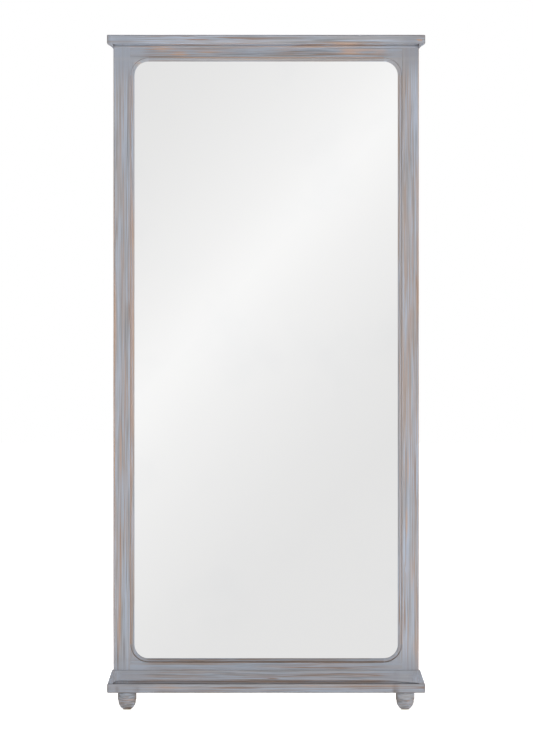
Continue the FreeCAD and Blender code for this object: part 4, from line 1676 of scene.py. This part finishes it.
@dataclass
class Plinth(Assembly):
    """Board at the foot, the mouldings above it and the screws up through it."""

    overhang: float = 17 * MM
    base_height: float = 35.5 * MM
    top_projection: float = 4 * MM
    foot_inset: float = 1.2 * MM
    droops: dict[int, Point] = field(default_factory=lambda: {-1: (405 * MM, 5 * MM), 1: (330 * MM, 7 * MM)})
    upright_strokes: float = 40 * MM
    screw_count: int = 4
    screw_margin: float = 60 * MM
    screw_head: float = 4.5 * MM
    screw_shank: float = 2.25 * MM
    screw_length: float = 55 * MM
    screw_cross: float = 5.8 * MM
    seat_radius: float = 4.8 * MM
    seat_depth: float = 3.4 * MM

    def projection(self, height: float) -> float:
        """How far the base moulding stands out at a height above the board."""
        foot = self.overhang - self.foot_inset
        return foot + (self.top_projection - foot) * height / self.base_height

    def screw_places(self) -> list[Vector]:
        """Middle of each screw's head, level with the board's underside."""
        reach = self.levels.joint_x - self.screw_margin
        return self.places_across(reach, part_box("plinth_board")[0].z, self.screw_count)

    def bottom(self) -> None:
        """Plinth board with countersinks for its screws."""
        holes = self.seat_radius, self.seat_depth, self.screw_places()
        self.board("plinth_bottom_board", "plinth_board", ("plinth", 25.0, 1.3 * MM, 0.25 * MM), holes)

    def front_moulding(self) -> None:
        """Sloping moulding across the front, over a dark recess, with drooping lower corners."""
        at, ease = self.levels, 0.6 * MM
        low, high = (corner.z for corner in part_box("front_base_moulding"))
        foot, top = at.front - self.projection(low - at.bottom), at.front - self.top_projection
        slope = Corner(foot, low, ease, Edge.WORN), Corner(top, high, ease, Edge.WORN)
        section = Section((Corner(at.front, low), *slope, Corner(at.front, high)))
        piece = self.run("front_base_run", section, Axis.ACROSS, -at.frame_half, at.frame_half, "base")
        mesh = piece.data
        inset = [(at.frame_half - abs(vertex.co.x)) / self.upright_strokes for vertex in mesh.vertices]
        around = [min(1.0, max(0.0, share)) for share in inset]
        add_mark(mesh, "around", around)
        arris = mesh.attributes["arris"].data
        for vertex, turn in zip(mesh.vertices, around):
            arris[vertex.index].value *= turn
            start, droop = self.droops[1 if vertex.co.x > 0 else -1]
            share = max(0.0, (abs(vertex.co.x) - start) / (at.frame_half - start))
            # Only the lowest quarter droops.
            lowness = 1 - (vertex.co.z - low) / (high - low)
            vertex.co.z -= droop * share * max(0.0, lowness * 4 - 3)
        self.paint(piece, "front_base_moulding", "base", Grain.ACROSS, 28.0)

    def side_moulding(self, side: int) -> None:
        """Return of the base moulding at one end, drawn in towards its top.

        Args:
            side: -1 on the left and 1 on the right.
        """
        at, name = self.levels, f"{SIDES[side]}_base_moulding"
        piece = eased_block(name + "_block", *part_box(name), 0.9 * MM, 6 * MM)
        for vertex in piece.data.vertices:
            share = self.projection(vertex.co.z - at.bottom) / self.projection(0)
            vertex.co.x = side * (at.frame_half + (abs(vertex.co.x) - at.frame_half) * share)
            if vertex.co.y < at.front:
                vertex.co.y = at.front - (at.front - vertex.co.y) * share
        self.paint(piece, name, "return", Grain.DEEP, 29.0, 0.7 * MM)

    def screws(self) -> None:
        """Countersunk screws, seen from below."""
        head, shank, length, face = self.screw_head, self.screw_shank, self.screw_length, -0.3 * MM
        rows = (0, face), (head, face, 0.15 * MM), (shank, -3 * MM), (shank, 4 * MM - length), (0, -length)
        name, outline = "plinth_countersunk_screws", turned_outline(*rows)
        aimed = [(place, DOWN) for place in self.screw_places()]
        piece = self.turned(name, outline, aimed, "zinc_plated_steel", self.screw_cross)
        self.hand_over(piece, "zinc_plated_steel", "plinth_screws")

    def build(self) -> None:
        """Makes the board, its mouldings and its screws."""
        self.bottom()
        self.front_moulding()
        self.side_moulding(-1)
        self.side_moulding(1)
        self.screws()


@dataclass
class Feet(Assembly):
    """Two turned bun feet and their glides."""

    collar_radius: float = 25.5 * MM
    bun_radius: float = 23.8 * MM
    bun_height: float = 25 * MM
    bow_out: float = 3.6 * MM
    bow_down: float = 1.8 * MM
    glide_radius: float = 11 * MM
    glide_height: float = 2 * MM
    spike_radius: float = 1.2 * MM

    def foot(self, name: str) -> None:
        """One foot, turned in one piece: a collar over a bun.

        Args:
            name: the CAD node that it stands for.
        """
        low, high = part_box(name)
        centre, step = (low + high) / 2, low.z + self.bun_height
        sole, shoulder = Vector((self.glide_radius, low.z)), Vector((self.bun_radius, step))
        shares = (0.06, 0.14, 0.24, 0.35, 0.46, 0.58, 0.7, 0.82, 0.92)
        curve = bowed(shoulder, sole, (self.bow_out, -self.bow_down), shares)
        collar, ease = self.collar_radius, 1.5 * MM
        rows = [(0, high.z), (collar, high.z, ease), (collar, step, ease, Edge.WORN)]
        # The hollow under the collar gets waxing and painted shade.
        rows += [(*shoulder, 0.3 * MM, Edge.HOLLOW), *(tuple(point) for point in curve)]
        rows += [(*sole, 0.5 * MM), (0, low.z)]
        outline = replace(turned_outline(*rows, spacing=3 * MM), arris_reach=2.5 * MM, hollow_reach=1.2 * MM)
        piece = self.turned(name + "_turning", outline, [(centre * Vector((1, 1, 0)), UP)], "foot", facets=72)
        self.paint(piece, name, "foot", Grain.TURNED, 31.0 + centre.x, 0.8 * MM, 0.3 * MM)

    def glide(self, name: str) -> None:
        """Slightly domed nylon glide with its spike.

        Args:
            name: the CAD node that it stands for.
        """
        low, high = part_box(name)
        radius, spike, height = self.glide_radius, self.spike_radius, self.glide_height
        rows = [(0, high.z), (spike, high.z - 2 * MM), (spike, height), (radius, height, 0.3 * MM)]
        rows += [(radius, 0.7 * MM, 0.6 * MM), (radius - 3 * MM, 0), (0, 0)]
        places = [((low + high) / 2 * Vector((1, 1, 0)), UP)]
        outline = turned_outline(*rows, spacing=3 * MM)
        piece = self.turned(name + "_disc", outline, places, "nylon_glide", facets=48)
        self.hand_over(piece, "nylon_glide", name)

    def build(self) -> None:
        """Makes both feet and both glides."""
        for side in SIDES.values():
            self.foot(side + "_foot")
            self.glide(side + "_foot_glide")


@dataclass
class Glazing(Assembly):
    """Mirror pane, backing board, retaining strips and their pins."""

    pin_radius: float = 0.9 * MM
    head_radius: float = 1.8 * MM
    pin_margin: float = 80 * MM
    side_pins: int = 7
    rail_pins: int = 3

    def pane(self) -> None:
        """Mirror pane with ground edges: silver to the front, backing paint behind."""
        piece = eased_block("silvered_pane", *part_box("mirror_pane"), 0.6 * MM, 60 * MM)
        for finish in ("mirror_glass", "silvering_paint"):
            piece.data.materials.append(self.finishes[finish])
        face_outward(piece.data)
        for face in piece.data.polygons:
            face.material_index = 0 if face.normal.y < -0.999 else 1
        soften(piece.data, 20.0)
        self.hand_over(piece, "mirror_glass", "mirror_pane")

    def backing(self) -> None:
        """Pressed board behind the glass, very slightly wavy."""
        sheet = eased_block("backing_sheet", *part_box("backing_board"), 0.4 * MM, 20 * MM)
        piece = self.worn(sheet, "hardboard", Grain.TURNED, 33.0, 0.2 * MM, 0.3 * MM)
        self.hand_over(piece, "hardboard", "backing_board")

    def strip(self, name: str, grain: Grain) -> None:
        """Planed strip that holds the board in its rebate.

        Args:
            name: the CAD node that it stands for.
            grain: direction of its grain.
        """
        batten = eased_block(name + "_batten", *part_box(name), 0.5 * MM, 10 * MM)
        piece = self.worn(batten, f"bare_wood_{grain.name.lower()}", grain, 35.0, 0.35 * MM, 0.1 * MM)
        self.hand_over(piece, "bare_wood", name)

    def pins(self) -> None:
        """Round heads of the pins on the strips' inner faces."""
        at, margin = self.levels, self.pin_margin
        low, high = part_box("left_retaining_strip")
        depth, width = (low.y + high.y) / 2, high.x - low.x
        reach = at.joint_x - width
        places = []
        for side in (-1, 1):
            for height in spread(at.rebate_bottom + margin, at.rebate_top - margin, self.side_pins):
                places.append((Vector((side * reach, depth, height)), Vector((-side, 0, 0))))
            level = at.rebate_top - width if side > 0 else at.rebate_bottom + width
            for across in spread(margin - reach, reach - margin, self.rail_pins):
                places.append((Vector((across, depth, level)), Vector((0, 0, -side))))
        head, shank = self.head_radius, self.pin_radius
        rows = [(0, 0.5 * MM), (head * 0.7, 0.38 * MM), (head, 0.0), (head, -1.1 * MM)]
        rows += [(shank, -1.2 * MM), (shank, -23 * MM), (0, -24.9 * MM)]
        outline = turned_outline(*rows, spacing=30 * MM)
        piece = self.turned("retaining_pins", outline, places, "zinc_plated_steel", facets=16)
        self.hand_over(piece, "zinc_plated_steel", "strip_pins")

    def build(self) -> None:
        """Makes the glass and what holds it."""
        self.pane()
        self.backing()
        for side in ("left", "right"):
            self.strip(side + "_retaining_strip", Grain.UPRIGHT)
        for side in ("top", "bottom"):
            self.strip(side + "_retaining_strip", Grain.ACROSS)
        self.pins()


@dataclass
class BackHardware(Assembly):
    """Rubber bumpers, hangers, rings and all the screws that show on the back."""

    nodes: dict[str, bpy.types.Object] = field(default_factory=dict)
    bumper_radius: float = 11 * MM
    bumper_height: float = 8 * MM
    bumper_slack: float = 0.2 * MM
    seat_radius: float = 5 * MM
    seat_depth: float = 5 * MM
    head_radius: float = 3.8 * MM
    head_height: float = 2.4 * MM
    shank_radius: float = 2 * MM
    screw_length: float = 18 * MM
    screw_cross: float = 4.9 * MM

    def bumper(self, name: str) -> Vector:
        """Moulded bumper with a raised rim and a seat for its screw.

        Args:
            name: the CAD node that it stands for.

        Returns:
            Where its screw's head rests.
        """
        low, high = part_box(name)
        base = Vector(((low.x + high.x) / 2, low.y, (low.z + high.z) / 2))
        top, floor = self.bumper_height - 0.03 * MM, self.bumper_height - self.seat_depth
        radius, seat, wall = self.bumper_radius, self.seat_radius, self.bumper_radius - self.bumper_slack
        rows = [(0, floor), (seat, floor, 0.3 * MM), (seat, top - 0.6 * MM, 0.2 * MM)]
        rows += [(seat + 0.7 * MM, top, 0.4 * MM), (wall, top, 1.5 * MM), (wall, 1.4 * MM, 0.2 * MM)]
        rows += [(radius, 1.1 * MM, 0.2 * MM), (radius, 0.0), (0, 0)]
        outline = turned_outline(*rows, spacing=2 * MM)
        piece = self.turned(name + "_pad", outline, [(base, BACK)], "black_rubber", facets=56)
        self.hand_over(piece, "black_rubber", name)
        return base + BACK * floor

    def pan_screws(self, kind: str, places: Sequence[Vector]) -> None:
        """Pan head screws, one at each place.

        Args:
            kind: what they hold, which is the start of their CAD node's name.
            places: where each head rests.
        """
        radius, height = self.head_radius, self.head_height
        shank, length = self.shank_radius, self.screw_length
        rows = [(0, height), (radius * 0.55, height - 0.1 * MM, 0.4 * MM), (radius, height * 0.45, 0.8 * MM)]
        rows += [(radius, 0.0, 0.1 * MM), (shank, 0.0), (shank, 4 * MM - length), (0, -length)]
        outline, aimed = turned_outline(*rows, spacing=4 * MM), [(place, BACK) for place in places]
        piece = self.turned(kind + "_pan_screws", outline, aimed, "zinc_plated_steel", self.screw_cross)
        self.hand_over(piece, "zinc_plated_steel", kind + "_screws")

    def hanger_places(self) -> list[Vector]:
        """Where the heads of the hangers' screws rest on both straps.

        Returns:
            The middle of each head's underside.
        """
        low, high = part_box("hanger_screws")
        reach, surface = high.x - self.head_radius, high.y - self.head_height
        heights = (high.z - self.head_radius, low.z + self.head_radius)
        return [Vector((side * reach, surface, height)) for side in (-1, 1) for height in heights]

    def dress(self, name: str, finish: str) -> None:
        """Gives a CAD node its finish.

        Args:
            name: the CAD node.
            finish: name of the material.
        """
        node = self.nodes[name]
        if not node.material_slots:
            node.data.materials.append(self.finishes[finish])
        for slot in node.material_slots:
            slot.material = self.finishes[finish]
        log.info("%s: CAD node in %s", name, finish)

    def build(self) -> None:
        """Makes the bumpers and the screws, and dresses the CAD hangers, rings and hidden fittings."""
        names = [f"{level}_{side}_bumper" for level in ("lower", "upper") for side in SIDES.values()]
        self.pan_screws("bumper", [self.bumper(name) for name in names])
        self.pan_screws("hanger", self.hanger_places())
        steel = [f"{side}_{kind}" for kind in ("hanger_strap", "hanging_ring") for side in SIDES.values()]
        for name in (*steel, "cornice_screws", "foot_studs"):
            self.dress(name, "zinc_plated_steel")
        self.dress("foot_inserts", "brass_insert")
        self.dress("corner_dowels", "bare_wood_across")


# Studio


@dataclass
class Studio:
    """White studio: floor, sky, lamps, the bright card that the glass reflects, and the camera."""

    # Name, place, width and power of each lamp.
    lamps: tuple[tuple, ...] = (
        ("key_lamp", (2.8, -3.2, 0.6), 1.1, 70.0),
        ("fill_lamp", (-2.6, -3.4, 0.7), 1.2, 35.0),
        ("back_lamp", (0.4, 2.8, 3.6), 1.6, 100.0),
    )
    camera_place: Vector = field(default_factory=lambda: Vector((0.001, -16.0, 0.9147)))
    lens: float = 285.0
    middle: Vector = field(default_factory=lambda: Vector((0, 0, 0.9)))
    floor_reach: float = 60.0
    floor_colour: Colour = (0.86, 0.86, 0.86, 1.0)
    floor_light: float = 0.45
    floor_white: float = 0.82
    floor_far: Point = (0.8, 2.4)
    sky_light: Point = (0.5, 0.04)
    sky_fade: float = 0.7
    sky_mirrored: float = 0.9
    card_depth: float = -4.2
    card_low: Point = (-2.2, -2.2)
    card_high: Point = (2.2, 4.2)
    glass_front: float = -0.008
    gleam_ends: tuple[Point, Point] = ((0.3494, 1.6129), (-0.3366, 0.8537))
    gleam_half: float = 0.736
    gleam_least: float = 0.893
    gleam_gain: float = 0.185
    gleam_places: tuple[float, ...] = (0.0, 0.08, 0.25, 0.5, 0.75, 1.0)
    gleam_shares: tuple[float, ...] = (1.0, 0.92, 0.66, 0.38, 0.15, 0.0)

    @staticmethod
    def sheet(coat: Coat, corners: Sequence[tuple], share: Made, first: Made, second: Made) -> None:
        """Flat sheet of the studio that shows a mix of two shaders.

        Args:
            coat: the nodes of its material, which has its name.
            corners: its four corners.
            share: share of the second shader.
            first: first shader.
            second: second shader.
        """
        name = coat.material.name
        piece = linked(name, mesh_of(name, corners, [], [(0, 1, 2, 3)], {}))
        mixed = coat.add("ShaderNodeMixShader", {0: share, 1: first, 2: second})
        piece.data.materials.append(coat.end(mixed))

    def floor(self) -> None:
        """Near-white floor that also glows softly to light the object from below, keeps the object's soft
        shadow and is white to the camera elsewhere.
        """
        coat = Coat("studio_floor")
        feeds = {"Base Color": self.floor_colour, "Roughness": 0.9, "Specular IOR Level": 0.0}
        matt = coat.add("ShaderNodeBsdfPrincipled", feeds)
        path = coat.add("ShaderNodeLightPath")
        away = coat.add("ShaderNodeVectorMath", {0: coat.place()}, operation="LENGTH")["Value"]
        white = coat.ramp(away, *self.floor_far, self.floor_white, 1.0)
        strength = coat.ramp(path["Is Camera Ray"], 0.0, 1.0, self.floor_light, white)
        glow = coat.add("ShaderNodeEmission", {"Color": WHITE, "Strength": strength})
        seen = coat.add("ShaderNodeAddShader", {0: glow, 1: matt})
        under = coat.add("ShaderNodeNewGeometry")["Backfacing"] * path["Is Camera Ray"]
        gone = coat.math("MAXIMUM", under, path["Is Glossy Ray"])
        far = self.floor_reach
        corners = (-far, -far, 0), (far, -far, 0), (far, far, 0), (-far, far, 0)
        self.sheet(coat, corners, gone, seen, coat.add("ShaderNodeBsdfTransparent"))

    def sky(self) -> None:
        """White to the camera and in reflections; as light it is dim above and brighter near the floor."""
        world = bpy.data.worlds.new("studio_sky")
        world.use_nodes = True
        world.node_tree.nodes.clear()
        bpy.context.scene.world = world
        bench = Bench(world.node_tree)
        path = bench.add("ShaderNodeLightPath")
        height = bench.add("ShaderNodeSeparateXYZ", {0: bench.add("ShaderNodeTexCoord")["Generated"]})["Z"]
        strengths = bench.ramp(height, 0.0, self.sky_fade, *self.sky_light), self.sky_mirrored, 1.0
        light, mirrored, white = (
            bench.add("ShaderNodeBackground", {"Color": WHITE, "Strength": strength})
            for strength in strengths
        )
        shiny = bench.math("MAXIMUM", path["Is Glossy Ray"], path["Is Transmission Ray"])
        unseen = bench.add("ShaderNodeMixShader", {0: shiny, 1: light, 2: mirrored})
        seen = bench.add("ShaderNodeMixShader", {0: path["Is Camera Ray"], 1: unseen, 2: white})
        bench.add("ShaderNodeOutputWorld", {"Surface": seen})

    def card(self) -> None:
        """Large card behind the camera, seen only in reflections, with a bright band across it."""
        depth = self.card_depth
        stretch = 1 + (depth - self.glass_front) / (self.camera_place.y - self.glass_front)
        eye = Vector((0.0, self.camera_place.z))
        first, second = (eye + (Vector(end) - eye) * stretch for end in self.gleam_ends)
        along, centre = (second - first).normalized(), (first + second) / 2
        coat = Coat("studio_card")
        feeds = {0: coat.place(), 1: (centre.x, 0.0, centre.y)}
        offset = coat.add("ShaderNodeVectorMath", feeds, operation="SUBTRACT")
        feeds = {0: offset, 1: (-along.y, 0.0, along.x)}
        away = coat.add("ShaderNodeVectorMath", feeds, operation="DOT_PRODUCT")["Value"]
        level = coat.add("ShaderNodeValToRGB", {0: abs(away) / self.gleam_half})
        stops = level.node.color_ramp.elements
        while len(stops) < len(self.gleam_places):
            stops.new(0.5)
        for stop, place, share in zip(stops, self.gleam_places, self.gleam_shares):
            stop.position, stop.color = place, (share, share, share, 1.0)
        strength = level * self.gleam_gain + self.gleam_least
        glow = coat.add("ShaderNodeEmission", {"Color": WHITE, "Strength": strength})
        clear = coat.add("ShaderNodeBsdfTransparent")
        (left, low), (right, high) = self.card_low, self.card_high
        corners = (left, depth, low), (left, depth, high), (right, depth, high), (right, depth, low)
        self.sheet(coat, corners, coat.add("ShaderNodeLightPath")["Is Glossy Ray"], clear, glow)

    def lamp(self, name: str, place: tuple[float, float, float], size: float, power: float) -> None:
        """Square soft lamp that points at the mirror's middle.

        Args:
            name: the lamp's name.
            place: its middle.
            size: its side.
            power: its power in watts.
        """
        light = bpy.data.lights.new(name, "AREA")
        light.shape, light.size, light.energy = "SQUARE", size, power
        lamp = bpy.data.objects.new(name, light)
        lamp.location = place
        lamp.rotation_euler = (self.middle - Vector(place)).to_track_quat("-Z", "Y").to_euler()
        lamp.visible_glossy = False
        bpy.context.scene.collection.objects.link(lamp)

    def camera(self) -> None:
        """Camera at the photograph's height and distance, level, with no shift."""
        data = bpy.data.cameras.new("camera")
        data.lens = self.lens
        camera = bpy.data.objects.new("camera", data)
        camera.location = self.camera_place
        camera.rotation_euler = (math.pi / 2, 0, 0)
        bpy.context.scene.collection.objects.link(camera)
        bpy.context.scene.camera = camera

    def build(self) -> None:
        """Sets up the whole studio."""
        bpy.context.scene.view_settings.view_transform = "Standard"
        self.floor()
        self.sky()
        self.card()
        for lamp in self.lamps:
            self.lamp(*lamp)
        self.camera()
        log.info("studio ready")


def main() -> None:
    """Builds the mirror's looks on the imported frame."""
    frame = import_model()
    logging.basicConfig(level=logging.INFO, format="%(name)s: %(message)s")
    shared = Levels.read(), GeometryTrees(), Finishes()
    assemblies = [kind(*shared) for kind in (FrameJoinery, Cornice, Plinth, Feet, Glazing)]
    assemblies.append(BackHardware(*shared, nodes=frame["nodes"]))
    for assembly in assemblies:
        assembly.build()
        log.info("%s: %d pieces", type(assembly).__name__, len(assembly.made))
    Studio().build()
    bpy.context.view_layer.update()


if __name__ == "__main__":
    main()
